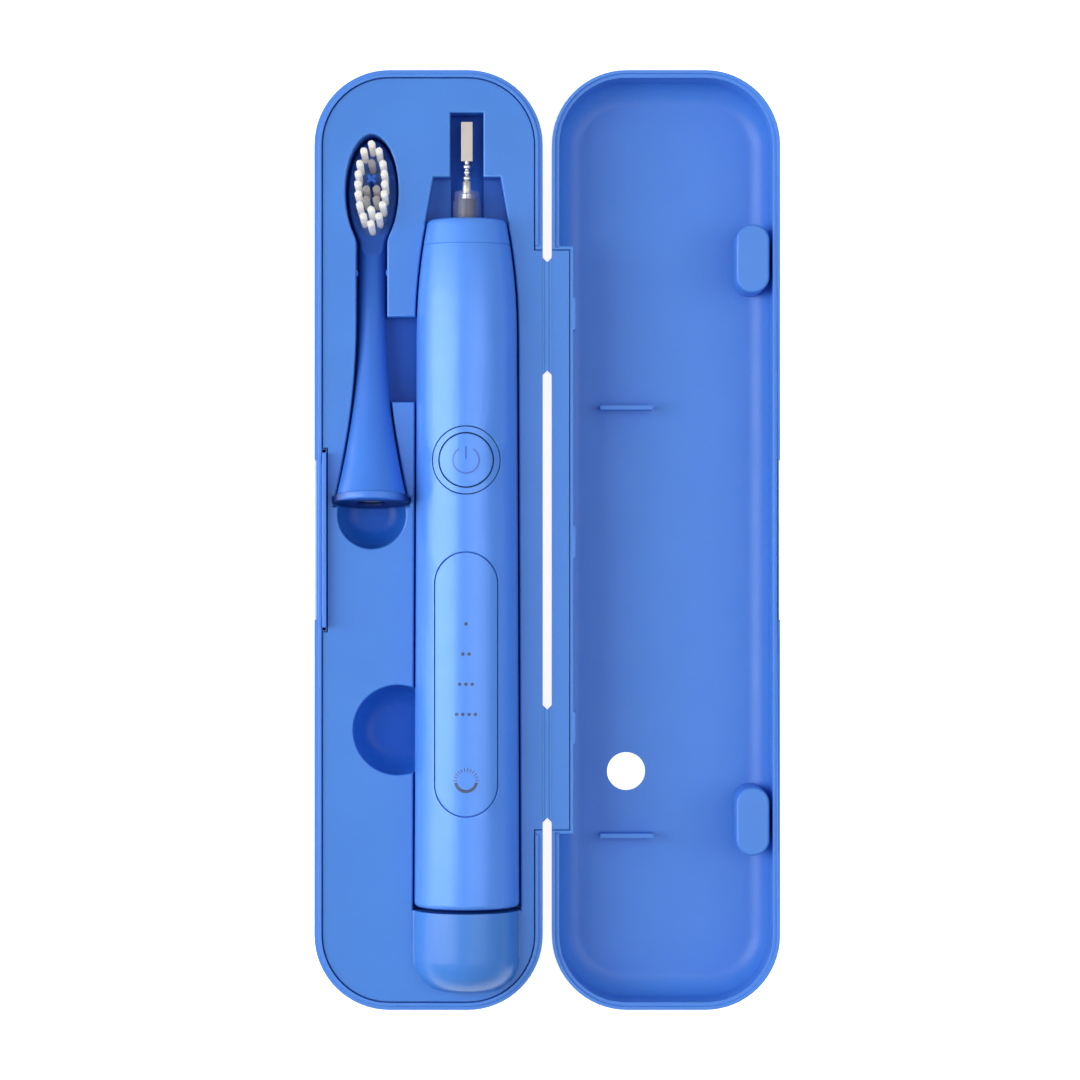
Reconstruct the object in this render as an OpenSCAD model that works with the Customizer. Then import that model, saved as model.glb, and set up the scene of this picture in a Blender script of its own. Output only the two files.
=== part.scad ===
// Travel case for an electric toothbrush, lying open like a book, with the brush handle and one
// brush head in its tray. Millimetres, +Z up. The origin is on the hinge line at mid length, in
// the plane that both halves lie on: base half towards -X, lid half towards +X, brush tip +Y.

/* [Handle outside] */
// Length of the handle without its drive shaft
handle_len = 166.6; // [155:0.2:180]
// Radius of the handle at its foot
handle_foot_r = 12.75; // [12.4:0.05:14]
// Radius of the handle where its shoulder starts
handle_neck_r = 12.2; // [11.6:0.05:12.4]
// Length of the shoulder at the top of the handle
shoulder_len = 27.7; // [22:0.1:32]
// Radius of the curve that draws the shoulder in
shoulder_arc_r = 140; // [120:1:220]
// Length of the separate collar on top of the handle
collar_len = 6.3; // [5:0.1:8]
// Rounding of the handle's top edge
collar_round = 1.6; // [0.8:0.1:2]
// Rounding of the handle's foot edge
foot_round = 1.2; // [0.6:0.1:1.6]
// Wall thickness of the housing
handle_wall = 1.8; // [1.6:0.05:2]

/* [Button and panel] */
// From the motor down to the middle of the button
button_to_motor = 11.9; // [11:0.1:14]
// Radius of the power button
button_r = 6.55; // [5.5:0.05:6.8]
// Width of the ring around the button
ring_w = 1.5; // [1:0.05:1.8]
// Running gap between button and ring
button_gap = 0.15; // [0.1:0.01:0.25]
// How far the button goes in
button_travel = 0.6; // [0.3:0.05:0.7]
// From the handle's foot to the lower end of the indicator panel
panel_from = 22.5; // [20:0.1:26]
// Length of the indicator panel
panel_len = 63.5; // [58:0.1:70]
// Width of the indicator panel
panel_w = 15.2; // [13:0.1:16]
// Thickness of the indicator panel
panel_t = 1.0; // [0.8:0.05:1.1]
// From the handle's foot to the charge light
charge_h = 30.6; // [29:0.1:33]
// From the handle's foot to the lowest of the mode lights
mode_h = 46.7; // [44:0.1:50]
// Distance between mode lights
mode_pitch = 7.35; // [6:0.05:8]
// Number of mode lights
mode_count = 4; // [3:1:4]
// Radius of the light openings behind the panel
light_r = 1.4; // [1.2:0.05:1.6]

/* [Drive] */
// Radius of the drive shaft in its bushes
shaft_r = 1.5; // [1.3:0.05:1.7]
// How far the shaft stands out of the handle
shaft_out = 23.8; // [22:0.1:26]
// Radius of the turned neck below the blade
spindle_r = 1.03; // [0.9:0.01:1.2]
// Radius of the beads under the blade
bead_r = 0.75; // [0.65:0.01:0.85]
// Width of the flat blade
blade_w = 2.9; // [2.4:0.05:3]
// Thickness of the flat blade
blade_t = 1.3; // [1.1:0.05:1.5]
// Length of the flat blade
blade_len = 9.6; // [8:0.1:11]
// Radius of the rubber boot at its foot
boot_r = 3.47; // [3.2:0.01:3.6]
// Radius of the rubber boot at its tip
boot_tip_r = 3.05; // [2.8:0.01:3.1]
// Running gap of the shaft in its bushes
shaft_gap = 0.05; // [0.03:0.01:0.1]
// Radius of the motor can
motor_r = 7.5; // [7:0.05:7.6]
// Length of the motor can
motor_len = 32; // [28:0.5:33]

/* [Handle inside] */
// Radius of the battery cell
cell_r = 7.1; // [6.8:0.05:7.1]
// Length of the battery cell
cell_len = 50; // [46:0.5:50]
// Width of the circuit board
board_w = 16; // [15.4:0.1:16.2]
// Thickness of the circuit board
board_t = 1.0; // [0.8:0.1:1.2]
// Height of the board's underside above the handle's axis
board_z = 5.4; // [5.3:0.05:5.5]
// Radius of the charging coil
coil_r = 9.4; // [8.6:0.1:9.8]
// Thickness of the end cap
cap_t = 4; // [3.6:0.1:4.2]

/* [Brush head] */
// Length of the brush head
head_len = 90; // [86:0.5:94]
// Radius of the head at its base
head_base_r = 9.1; // [8.6:0.05:9.4]
// Radius of the head's neck
head_neck_r = 3.3; // [3:0.05:3.5]
// Length of the flare from base to neck
flare_len = 45; // [40:0.5:50]
// Length of the ring at the head's base
head_ring_len = 1.8; // [1.4:0.1:2.4]
// Length of the bristle plate
paddle_len = 27; // [25:0.5:28]
// Width of the bristle plate
paddle_w = 12.2; // [11.6:0.1:12.8]
// Height of the bristle face above the head's axis
paddle_top = 1.9; // [1.6:0.1:2.1]
// Depth of the bristle plate below the head's axis
paddle_back = 2.4; // [2:0.1:2.6]
// Slope of the head in its pocket, base up
head_tilt = 8; // [7:0.25:8.5]
// Height of the head's base above the rim
head_rise = 1.5; // [1:0.1:2.5]
// Length of the bristles
bristle_len = 10; // [9:0.25:11]
// Radius of one tuft, to the middle of its outer strands
tuft_r = 0.72; // [0.6:0.01:0.76]
// Radius of one bristle
strand_r = 0.15; // [0.11:0.01:0.16]

/* [Case shells] */
// Thickness of the walls and floors of both shells
wall = 1.8; // [1.6:0.1:2.2]
// Radius of the shells' corners seen from above
corner_r = 18.2; // [16:0.2:21]
// Radius of the outer edge between walls and floor
edge_r = 7.3; // [5:0.1:8.4]
// From the base's hinge side to the foot of the handle
handle_side = 5.65; // [5.6:0.05:7]
// From the foot of the handle to the base of the brush head, across the case
pair_gap = 1.25; // [1:0.05:4]
// From the base of the brush head to the base's free side
free_side = 4.8; // [4.7:0.05:7]
// From the hump to the lower end of the case
foot_margin = 4.7; // [4:0.1:8]
// From the shaft slot to the upper end of the case
head_margin = 10.4; // [8:0.1:16]
// Gap left between the closed faces
closed_gap = 0.2; // [0.1:0.05:0.4]

/* [Rim and closure] */
// Width of the raised lip inside the base's rim
lip_w = 0.8; // [0.6:0.05:0.9]
// Height of the lip
lip_h = 0.6; // [0.4:0.05:1]
// Clearance around the lip in the lid's rebate
lip_gap = 0.15; // [0.1:0.01:0.25]
// Length of the closure pad on the base's free side
pad_len = 44.2; // [36:0.2:52]
// Width of the closure pad inside the wall
pad_w = 1.2; // [1:0.05:1.3]
// Height of the snap tongue above the rim
tongue_h = 2.5; // [2:0.1:3]
// How far the snap bead stands out of its tongue
snap_out = 0.1; // [0.05:0.01:0.12]
// Length of the thumb scoops on the free sides
thumb_len = 38.8; // [30:0.2:42]
// Depth of the thumb scoops
thumb_depth = 0.5; // [0.3:0.05:0.6]
// Radius of the thumb scoops
thumb_r = 12; // [8:0.5:16]

/* [Hinge] */
// Gap between the two halves, which the webs bridge
hinge_gap = 2.2; // [2:0.1:2.6]
// Length of the hinge zone
hinge_len = 140.8; // [130:0.2:150]
// Gap in the slit between the webs and around the leaf
leaf_gap = 0.2; // [0.15:0.01:0.3]
// Width of the rail along the lid's hinge side
rail_w = 5.3; // [5.1:0.05:5.4]
// Height of the rail
rail_h = 8; // [6.5:0.1:9]
// Width of the hinge leaf
leaf_w = 4.25; // [4:0.05:4.3]
// Thickness of the hinge leaf
leaf_t = 1.2; // [1:0.05:1.4]
// Thickness of the folding webs
web_t = 0.5; // [0.4:0.05:0.7]
// Length of each folding web
web_len = 28.5; // [24:0.5:34]
// Depth of the notches in the ends of the webs
web_notch = 1.1; // [0.8:0.1:1.5]
// Length of the clips under the leaf
clip_len = 7.6; // [6:0.1:9]
// How far the clips reach down
clip_drop = 5; // [4:0.1:5.2]

/* [Tray] */
// Thickness of the tray
tray_t = 1.5; // [1.2:0.05:1.6]
// Gap around the tray's edge
tray_gap = 0.3; // [0.2:0.05:0.4]
// Width of the ledge that carries the tray
ledge_w = 1.2; // [1:0.05:1.3]
// Space between the tray's lowest point and the floor of the base
floor_gap = 1.55; // [1:0.05:3]
// How far the handle's axis lies below the rim
handle_sink = 1.5; // [1.2:0.1:2]
// Gap around the handle in its pocket
pocket_gap = 0.4; // [0.3:0.05:0.5]
// Gap around the brush head in its pocket
head_gap = 0.5; // [0.4:0.05:0.7]
// Gap between the handle's foot and the hump
foot_gap = 0.9; // [0.6:0.1:1.5]
// Length of the hump beyond the handle's foot
hump_len = 19.5; // [16:0.5:24]
// Rounding of the hump's far end
hump_round = 8; // [6:0.5:10]
// Width of the slot for the drive shaft
slot_w = 8; // [7:0.1:9]
// Depth of the slot
slot_depth = 10; // [8:0.1:11]
// Gap beyond the tip of the shaft
slot_gap = 2.1; // [1.5:0.1:4]
// Length of the stepped recess above the handle's collar
step_len = 10.3; // [9:0.1:12]
// Width of the stepped recess at its far end
step_far_w = 16.3; // [14:0.1:18]
// Width of the stepped recess at the collar
step_near_w = 20.2; // [19.2:0.1:21]
// Depth of the stepped recess
step_depth = 6.5; // [5.5:0.1:8]
// Radius of the finger scoop beside the handle
scoop_r = 10.9; // [9:0.1:12]
// Depth of the finger scoops
scoop_depth = 9; // [7:0.1:10]
// Rounding of the finger scoops' floors
scoop_fillet = 5; // [3:0.1:6]
// From the handle's foot to the middle of the finger scoop
scoop_h = 42.8; // [38:0.2:60]
// How far the scoop's middle lies beside the handle's foot
scoop_side = 3.95; // [3:0.05:5]
// From the handle's foot to the middle of the finger recess
recess_h = 132.7; // [128:0.1:138]
// Length of the finger recess
recess_len = 20.6; // [16:0.1:26]
// Depth of the finger recess
recess_depth = 8; // [7:0.1:9]
// From the neck nubs to the base of the head
nub_at = 56.5; // [52:0.5:58]

/* [Lid] */
// Width of the two posts in the lid
post_w = 8.1; // [7:0.1:8.6]
// Length of the posts
post_len = 16.6; // [14:0.1:20]
// Corner radius of the posts
post_round = 3.9; // [2:0.1:3.9]
// Gap between the posts and the lid's wall
post_wall_gap = 0.8; // [0.5:0.1:1.2]
// Distance between the posts
post_pitch = 136.6; // [120:0.2:146]
// Length of the low ribs over the handle
rib_len = 12.9; // [10:0.1:16]
// Thickness of the ribs
rib_t = 1.0; // [0.8:0.1:1.4]
// Gap between the ribs and the handle when closed
rib_gap = 0.4; // [0.3:0.05:0.6]
// From the handle's foot to the lower rib
low_rib_h = 16.3; // [12:0.1:22]
// From the handle's foot to the upper rib
high_rib_h = 121.4; // [118:0.1:128]
// Radius of the round window over the charge light
window_r = 4.7; // [3.5:0.1:6]
// How far the window's middle lies above the charge light
window_lead = 1.2; // [0:0.1:2]

/* [Hidden] */
$fn = 64;
wall_inset = 0.04;
eps = 0.01;
far = 400;

case_blue = "#4f8ee0";
handle_blue = "#5f9cf0";
head_blue = "#3f78dc";
metal = "#c9c7c4";
boot_grey = "#8c8078";
board_green = "#2f7d4c";
dark = "#2c2f36";
copper = "#b8733b";
white = "#f2f2f0";
grey = "#b4b2b0";

// Overall layout of the case
half_w = handle_side + 2 * handle_foot_r + pair_gap + 2 * head_base_r + free_side;
case_len = foot_margin + hump_len + foot_gap + handle_len + shaft_out + slot_gap + head_margin;
half_h = wall + floor_gap + tray_t + pocket_gap + handle_foot_r + handle_sink;
rim_z = half_h;
hinge_edge = hinge_gap / 2;
half_x = hinge_edge + half_w / 2;
outer_edge = hinge_edge + half_w;
hinge_z = rim_z + closed_gap / 2;

// Places of the handle and of the brush head
handle_x = -(hinge_edge + handle_side + handle_foot_r);
foot_y = -case_len / 2 + foot_margin + hump_len + foot_gap;
handle_z = rim_z - handle_sink;
top_y = foot_y + handle_len;
tip_y = top_y + shaft_out;
head_x = -outer_edge + free_side + head_base_r;
head_tip_margin = 16;
head_y = case_len / 2 - head_tip_margin - head_len * cos(head_tilt);
head_z = rim_z + head_rise;

// Outline of the handle as a function of the height above its foot
shoulder_h = handle_len - shoulder_len;
shoulder_steps = 6;
collar_h = handle_len - collar_len;
function handle_r(h) = h <= shoulder_h
    ? handle_foot_r + (handle_neck_r - handle_foot_r) * max(h, 0) / shoulder_h
    : handle_neck_r - pow(h - shoulder_h, 2) / (2 * shoulder_arc_r);
function handle_stops(from, to) = concat(
    [from],
    from < 0 ? [0] : [],
    [for (i = [0:shoulder_steps - 1])
        let (h = shoulder_h + i * shoulder_len / shoulder_steps) if (h > from && h < to) h],
    [to]);
function arc(x, y, r, from, to, steps = 5) =
    [for (i = [0:steps]) let (a = from + (to - from) * i / steps) [x + r * cos(a), y + r * sin(a)]];

// Outline of the brush head as a function of the distance from its base
paddle_mid = head_len - paddle_len / 2;
paddle_foot = head_len - paddle_len;
flare_steps = 9;
function flare_r(s) = head_neck_r
    + (head_base_r - 0.3 - head_neck_r) * pow(max(0, 1 - s / flare_len), 2);
function paddle_r(s) = paddle_w / 2 * sqrt(max(0, 1 - pow((s - paddle_mid) / (paddle_len / 2), 2)));
function head_r(s) = pow(pow(flare_r(s), 8) + pow(paddle_r(s), 8), 1 / 8);
head_stops = concat(
    [for (i = [0:flare_steps]) head_ring_len + (flare_len - head_ring_len) * i / flare_steps],
    [for (s = [-1.5:1.25:6]) paddle_foot + s]);
function head_outline(grow = 0) = concat(
    [for (s = head_stops) [head_r(s) + grow, s]],
    [for (a = [66:12:174])
        [(paddle_w / 2 + grow) * sin(a), paddle_mid - (paddle_len / 2 + grow) * cos(a)]],
    [[0, head_len + grow]]);

// Handle innards, heights above the foot
ring_r = button_r + button_gap + ring_w;
coil_from = cap_t + 0.3;
coil_len = 4;
cell_from = coil_from + coil_len + 2.2;
bay_gap = 0.2;
bulkhead_t = 3;
cell_drop = 2;
cell_end = cell_from + cell_len;
spigot_len = 3.5;
cradle_len = 2.2;
motor_end = collar_h - spigot_len - cradle_len - 2.6;
motor_from = motor_end - motor_len;
board_from = cell_from + 5.5;
board_to = motor_from - 2;
button_h = motor_from - button_to_motor;
chassis_r = 10.1;
cradle_r = 9.3;
bay_r = 9.2;
board_top = board_z + board_t;
switch_h = 1.5;
stem_r = 1.6;
plunger_r = 1.1;
light_heights = concat([charge_h], [for (i = [0:mode_count - 1]) mode_h + i * mode_pitch]);
guide_z = board_top + 1.0;
guide_t = 1.0;
guide_w = 5;
guide_end = 3;
screw_r = 0.65;
screw_head = 1.2;
screw_places = [[board_w / 3, cell_end + bay_gap + bulkhead_t / 2],
    [-board_w / 3, board_to - bulkhead_t / 2]];
winding_inset = 6;
nub_r = 1.2;
nub_gap = 0.1;

// Drive shaft, heights above the foot
boot_step = 4.6;
boot_out = 7;
spindle_end = handle_len + 9.2;
blade_from = handle_len + shaft_out - blade_len;

// Socket in the brush head, distances from its base
socket_r = boot_r + 0.13;
socket_depth = boot_out + 0.2;
socket_wall = 1.0;
socket_end = shaft_out + 2.2;
pin_r = shaft_r + 0.2;

// Tufts, places across and along the bristle plate from the middle of the tuft oval
oval_half_w = 3.25;
oval_half_len = 9.85;
white_rows = [8.1, 5.0, 2.5, 0, -2.5, -5.2, -8.0];
function oval_x(y) = oval_half_w * sqrt(1 - pow(y / oval_half_len, 2));
white_places = concat(
    [[0, oval_half_len], [0, -oval_half_len], [0, -6.4]],
    [for (y = white_rows, side = [-1, 1]) [side * oval_x(y), y]]);
grey_places = [[0, 5.4], [-1.2, -1.1], [1.2, -1.1], [-1.2, -3.7], [1.2, -3.7]];
cross_place = [0, 1.7];
tuft_rings = [[0, 1], [0.53, 5], [1, 10]];
plate_t = 0.9;
slice_t = 0.5;
slice_edge = 1.1;
window_rows = [[2.1, -4.75, 0], [1.3, -1, 6.5]];
slice_gap = 0.05;

// Hinge
web_mid = hinge_len / 2 - leaf_gap - web_len / 2 - 1.7;
clip_places = [54.9, -0.4, -45.6];
clip_t = 1.2;
clip_edge = hinge_edge + leaf_w - 0.1;
slot_room = 0.2;

// ---------------------------------------------------------------- frames

// Height above the handle's foot becomes +Z, the top of the handle becomes -Y
module on_handle() {
    translate([handle_x, foot_y, handle_z]) rotate([-90, 0, 0]) children();
}

// +Y runs up the handle from its foot, +Z points out of its button side
module over_handle() {
    translate([handle_x, foot_y, handle_z]) children();
}

// Distance from the head's base becomes +Z
module on_head() {
    over_head() rotate([-90, 0, 0]) children();
}

// +Y runs from the head's base to its tip, +Z is where the bristles point
module over_head() {
    translate([head_x, head_y, head_z]) rotate([-head_tilt, 0, 0]) children();
}

// ---------------------------------------------------------------- shared shapes

// Plan of one half of the case, drawn in from its outside
module half_plan(inset) {
    r = corner_r - inset;
    w = half_w - 2 * inset;
    len = case_len - 2 * inset;
    square([w, len - 2 * r], center = true);
    square([w - 2 * r, len], center = true);
    for (x = [-1, 1], y = [-1, 1])
        translate([x * (w / 2 - r), y * (len / 2 - r)]) circle(r);
}

// Upright prism of that plan
module half_prism(inset, z0, z1) {
    translate([0, 0, z0]) linear_extrude(z1 - z0) half_plan(inset);
}

// Section of a wall with a rounded foot, from its corner's axis outwards
module edge_section(r, h, foot) {
    translate([0, foot]) square([r, h - foot]);
    square([r - foot, foot]);
    intersection() {
        translate([r - foot, foot]) circle(foot);
        translate([r - foot, 0]) square(foot);
    }
}

// One half of the case as a block with a rounded foot
module half_block(inset, z0, z1, foot) {
    r = corner_r - inset;
    across = half_w / 2 - corner_r;
    along = case_len / 2 - corner_r;
    translate([0, 0, z0]) {
        for (i = [0:3])
            translate([(i == 0 || i == 3 ? 1 : -1) * across, (i < 2 ? 1 : -1) * along, 0])
                rotate([0, 0, 90 * i]) rotate_extrude(angle = 90) edge_section(r, z1 - z0, foot);
        for (side = [0, 180])
            rotate([0, 0, side]) {
                translate([across, along, 0]) rotate([90, 0, 0])
                    linear_extrude(2 * along) edge_section(r, z1 - z0, foot);
                translate([-across, along, 0]) rotate([90, 0, 90])
                    linear_extrude(2 * across) edge_section(r, z1 - z0, foot);
            }
        translate([-across, -along, 0]) cube([2 * across, 2 * along, z1 - z0]);
    }
}

// Hollow half shell
module half_shell() {
    difference() {
        half_block(0, 0, rim_z, edge_r);
        half_block(wall, wall, rim_z + 1, edge_r - wall);
    }
}

// Long scoop for the thumb in the outside of a free side, which faces +X
module thumb_scoop() {
    translate([half_w / 2 - thumb_depth + thumb_r, thumb_len / 2, rim_z]) rotate([90, 0, 0])
        cylinder(r = thumb_r, h = thumb_len);
}

// Upright block with rounded corners
module round_block(w, len, h, r) {
    linear_extrude(h) {
        square([w, len - 2 * r], center = true);
        square([w - 2 * r, len], center = true);
        for (x = [-1, 1], y = [-1, 1])
            translate([x * (w / 2 - r), y * (len / 2 - r)]) circle(r);
    }
}

// ---------------------------------------------------------------- base

module base_shell() {
    ledge_z = rim_z - tray_t;
    pad_x = half_w / 2 - wall;
    lip_top = rim_z + lip_h;
    color(case_blue) translate([-half_x, 0, 0]) mirror([1, 0, 0]) difference() {
        union() {
            difference() {
                half_block(0, 0, lip_top, edge_r);
                // room under the tray, the ledge's opening and the tray's edge
                half_block(wall, wall, ledge_z - ledge_w, edge_r - wall);
                half_prism(wall + ledge_w, ledge_z - ledge_w - 1, ledge_z + 1);
                half_prism(wall, ledge_z, lip_top + 1);
                // rim outside the lip that centres the lid
                difference() {
                    half_prism(-1, rim_z, lip_top + 1);
                    half_prism(wall - lip_w, rim_z - 1, lip_top + 2);
                }
                translate([-far / 2, -hinge_len / 2 - 1, rim_z]) cube([far / 2, hinge_len + 2, 9]);
            }
            // closure pad with its snap tongue and bead
            translate([pad_x - pad_w, -pad_len / 2, ledge_z - 3])
                cube([pad_w + 0.5, pad_len, rim_z - ledge_z + 3]);
            translate([pad_x - pad_w, -pad_len / 2 + 1, rim_z - 1])
                cube([pad_w - lip_gap * 1.5, pad_len - 2, tongue_h + 1]);
            translate([pad_x - lip_gap * 1.5 - 0.4 + snap_out, pad_len / 2 - 4, rim_z + 1.7])
                rotate([90, 0, 0]) cylinder(r = 0.4, h = pad_len - 8);
        }
        // seat of the tray's flange on the hinge side
        translate([-half_w / 2 - 1, -hinge_len / 2, ledge_z]) cube([wall + ledge_w + 1, hinge_len, 9]);
        thumb_scoop();
    }
}

// ---------------------------------------------------------------- tray

// Room for the handle, grown by g
module handle_room(g = 0) {
    grow = pocket_gap + g;
    side = [for (h = handle_stops(-foot_gap - g, handle_len + grow)) [handle_r(h) + grow, h]];
    last = len(side) - 1;
    on_handle() rotate_extrude() polygon(concat(
        [[0, -foot_gap - g]], side, [[0, handle_len + grow]]));
    // above the axis the pocket's walls stand straight up
    over_handle() linear_extrude(handle_sink + 1) polygon(concat(
        [for (p = side) [p[0] - wall_inset, p[1]]],
        [for (i = [last:-1:0]) [wall_inset - side[i][0], side[i][1]]]));
}

// Room for the boot and the shaft beyond the collar, grown by g
module shaft_room(g = 0) {
    translate([handle_x, 0, 0]) {
        translate([0, 0, rim_z - step_depth - g]) linear_extrude(step_depth + g + 1) polygon([
            [-step_near_w / 2 - g, top_y - 1], [step_near_w / 2 + g, top_y - 1],
            [step_far_w / 2 + g, top_y + step_len + g], [-step_far_w / 2 - g, top_y + step_len + g]
        ]);
        translate([-slot_w / 2 - g, top_y - 1, rim_z - slot_depth - g])
            cube([slot_w + 2 * g, shaft_out + slot_gap + 1 + g, slot_depth + g + 1]);
    }
}

// Round finger scoop, grown by g
module scoop(r, g = 0) {
    translate([0, 0, rim_z - scoop_depth - g]) rotate_extrude()
        edge_section(r + g, scoop_depth + g + 1, scoop_fillet + g);
}

// What the flat back of the bristle plate leaves free, g lower
module back_cut(g = 0) {
    over_head() rotate([90, 0, 90]) linear_extrude(far, center = true) polygon([
        [paddle_foot - 4, -head_neck_r - g - 0.5], [paddle_foot, -paddle_back - g],
        [far, -paddle_back - g], [far, -far], [paddle_foot - 4, -far]
    ]);
}

// Room for the brush head, grown by g
module head_room(g = 0) {
    grow = head_gap + g;
    side = concat([[head_base_r + grow, -grow], [head_base_r + grow, head_ring_len]],
        head_outline(grow));
    last = len(side) - 1;
    flat = cos(head_tilt);
    // straight walls above the head's axis
    intersection() {
        translate([head_x, head_y, 0]) linear_extrude(rim_z + 1) polygon(concat(
            [for (i = [0:last - 1]) [side[i][0] - wall_inset, side[i][1] * flat]],
            [[0, side[last][1] * flat - wall_inset]],
            [for (i = [last - 1:-1:0]) [wall_inset - side[i][0], side[i][1] * flat]]));
        over_head() translate([-far / 2, -far / 2, 0]) cube([far, far, far]);
    }
    // rounded floor, flat under the bristle plate
    difference() {
        on_head() rotate_extrude() polygon(concat([[0, -grow]], side));
        back_cut(grow);
    }
}

// All hollows of the tray, grown by g
module tray_room(g = 0) {
    handle_room(g);
    shaft_room(g);
    head_room(g);
    translate([handle_x - handle_foot_r - scoop_side, foot_y + scoop_h, 0]) scoop(scoop_r, g);
    translate([head_x, head_y - 2.7, 0]) scoop(head_base_r - 0.8, g);
    translate([head_x, foot_y + recess_h - recess_len / 2 - g, rim_z - recess_depth - g])
        cube([handle_x - head_x, recess_len + 2 * g, recess_depth + g + 1]);
}

// Hump beyond the handle's foot, drawn in by inset
module hump(inset = 0) {
    r = handle_foot_r - inset;
    foot = hump_round - inset;
    intersection() {
        on_handle() rotate_extrude() polygon(concat(
            [[0, 1]], [[r, 1]],
            arc(r - foot, -foot_gap - hump_len + inset + foot, foot, 0, -90, 6),
            [[0, -foot_gap - hump_len + inset]]));
        translate([-far, -far, rim_z - tray_t]) cube(2 * far);
    }
}

module inner_tray() {
    under = rim_z - tray_t;
    mid = rim_z - tray_t / 2;
    neck_nub_y = head_y + nub_at * cos(head_tilt);
    color(case_blue) {
        difference() {
            union() {
                // face with its flange over the base's hinge side
                difference() {
                    union() {
                        translate([-half_x, 0, 0]) half_prism(wall + tray_gap, under, rim_z);
                        translate([-half_x, leaf_gap - hinge_len / 2, under])
                            cube([half_w / 2, hinge_len - 2 * leaf_gap, tray_t]);
                    }
                    // notch around the closure pad
                    translate([-outer_edge - 1, -pad_len / 2 - tray_gap, under - 1])
                        cube([wall + pad_w + tray_gap + 1, pad_len + 2 * tray_gap, tray_t + 2]);
                }
                // skins of the pockets, kept inside the ledge
                intersection() {
                    tray_room(tray_t);
                    translate([-half_x, 0, 0])
                        half_prism(wall + ledge_w + tray_gap, wall + 0.3, mid);
                }
                hump();
            }
            tray_room();
            // hollow under the hump
            intersection() {
                hump(tray_t);
                translate([-far, -far, 0]) cube([2 * far, far + foot_y - foot_gap - tray_t, far]);
            }
            translate([handle_x, foot_y - foot_gap - tray_t, under - 1]) rotate([90, 0, 0])
                linear_extrude(hump_len - hump_round - tray_t)
                    translate([-handle_foot_r + tray_t, 0])
                        square([2 * (handle_foot_r - tray_t), tray_t + 1]);
        }
        // nubs that hold the neck
        for (side = [-1, 1])
            translate([head_x + side * (head_neck_r + nub_gap + nub_r), neck_nub_y, rim_z - 6.5])
                cylinder(r = nub_r, h = 5.5);
    }
}

// ---------------------------------------------------------------- hinge

module hinge_web() {
    edge = hinge_edge;
    color(case_blue) difference() {
        translate([0, 0, rim_z - web_t]) linear_extrude(web_t) polygon([
            [-edge, -web_len / 2], [0, -web_len / 2 + web_notch], [edge, -web_len / 2],
            [edge, web_len / 2], [0, web_len / 2 - web_notch], [-edge, web_len / 2]
        ]);
        for (x = [-edge / 2, edge / 2])
            translate([x - 0.12, -web_len, rim_z - web_t * 0.35]) cube([0.24, 2 * web_len, 1]);
    }
}

module hinge_web_upper() translate([0, web_mid, 0]) hinge_web();
module hinge_web_lower() translate([0, -web_mid, 0]) hinge_web();

module hinge_leaf() {
    color(case_blue) {
        translate([hinge_edge, leaf_gap - hinge_len / 2, rim_z - leaf_t])
            cube([leaf_w, hinge_len - 2 * leaf_gap, leaf_t]);
        for (y = clip_places)
            translate([clip_edge - clip_t, y + clip_len / 2, rim_z - leaf_t]) rotate([90, 0, 0])
                linear_extrude(clip_len) polygon([
                    [0, 0.5], [0, -clip_drop], [clip_t * 0.6, -clip_drop],
                    [clip_t, -clip_drop + 1.4], [clip_t, 0.5]
                ]);
    }
}

// ---------------------------------------------------------------- lid

module lid_shell() {
    rail_z = rim_z - rail_h;
    wall_x = half_w / 2 - wall;
    post_x = wall_x - post_wall_gap - post_w / 2;
    handle_off = -handle_x - half_x;
    color(case_blue) translate([half_x, 0, 0]) difference() {
        union() {
            half_shell();
            // rail along the hinge side, with a bulge for each clip
            translate([-half_w / 2 + 0.5, -hinge_len / 2 - wall / 2, rail_z])
                cube([rail_w - 0.5, hinge_len + wall, rail_h]);
            for (y = clip_places)
                translate([-half_w / 2 + rail_w - 0.5, y, rail_z])
                    round_block(2 * 1, clip_len + 0.4, rail_h, 0.6);
            // posts that close over the tray's face
            for (y = [-post_pitch / 2, post_pitch / 2])
                translate([post_x, y, wall - 0.5])
                    round_block(post_w, post_len, rim_z - wall + 0.5, post_round);
            // ribs that close over the handle
            for (h = [low_rib_h, high_rib_h])
                translate([handle_off - rib_len / 2, foot_y + h - rib_t / 2, wall - 0.5])
                    cube([rib_len, rib_t, rim_z + closed_gap + handle_sink
                        - handle_r(h) - rib_gap - wall + 0.5]);
        }
        // rebate over the base's lip
        difference() {
            half_prism(wall - lip_w - lip_gap, rim_z - lip_h - lip_gap, rim_z + 1);
            half_prism(wall + eps, rim_z - lip_h - 1, rim_z + 2);
            translate([-far / 2, -hinge_len / 2 - 0.6, 0]) cube([far / 2, hinge_len + 1.2, far]);
        }
        // seat of the hinge leaf and slots for its clips
        translate([-half_w / 2 - 1, -hinge_len / 2, rim_z - leaf_t])
            cube([leaf_w + leaf_gap + 1, hinge_len, leaf_t + 1]);
        for (y = clip_places)
            translate([clip_edge - clip_t - slot_room - half_x, y - clip_len / 2 - slot_room,
                rim_z - leaf_t - clip_drop - slot_room])
                cube([clip_t + 2 * slot_room, clip_len + 2 * slot_room, clip_drop + 1]);
        // groove for the snap bead
        translate([wall_x - 0.15, pad_len / 2 - 3.5, rim_z - 1.7 + closed_gap]) rotate([90, 0, 0])
            cylinder(r = 0.45, h = pad_len - 7);
        // window over the charge light
        translate([handle_off, foot_y + charge_h + window_lead, -1])
            cylinder(r = window_r, h = wall + 2);
        thumb_scoop();
    }
}

// ---------------------------------------------------------------- handle, outside

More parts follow.
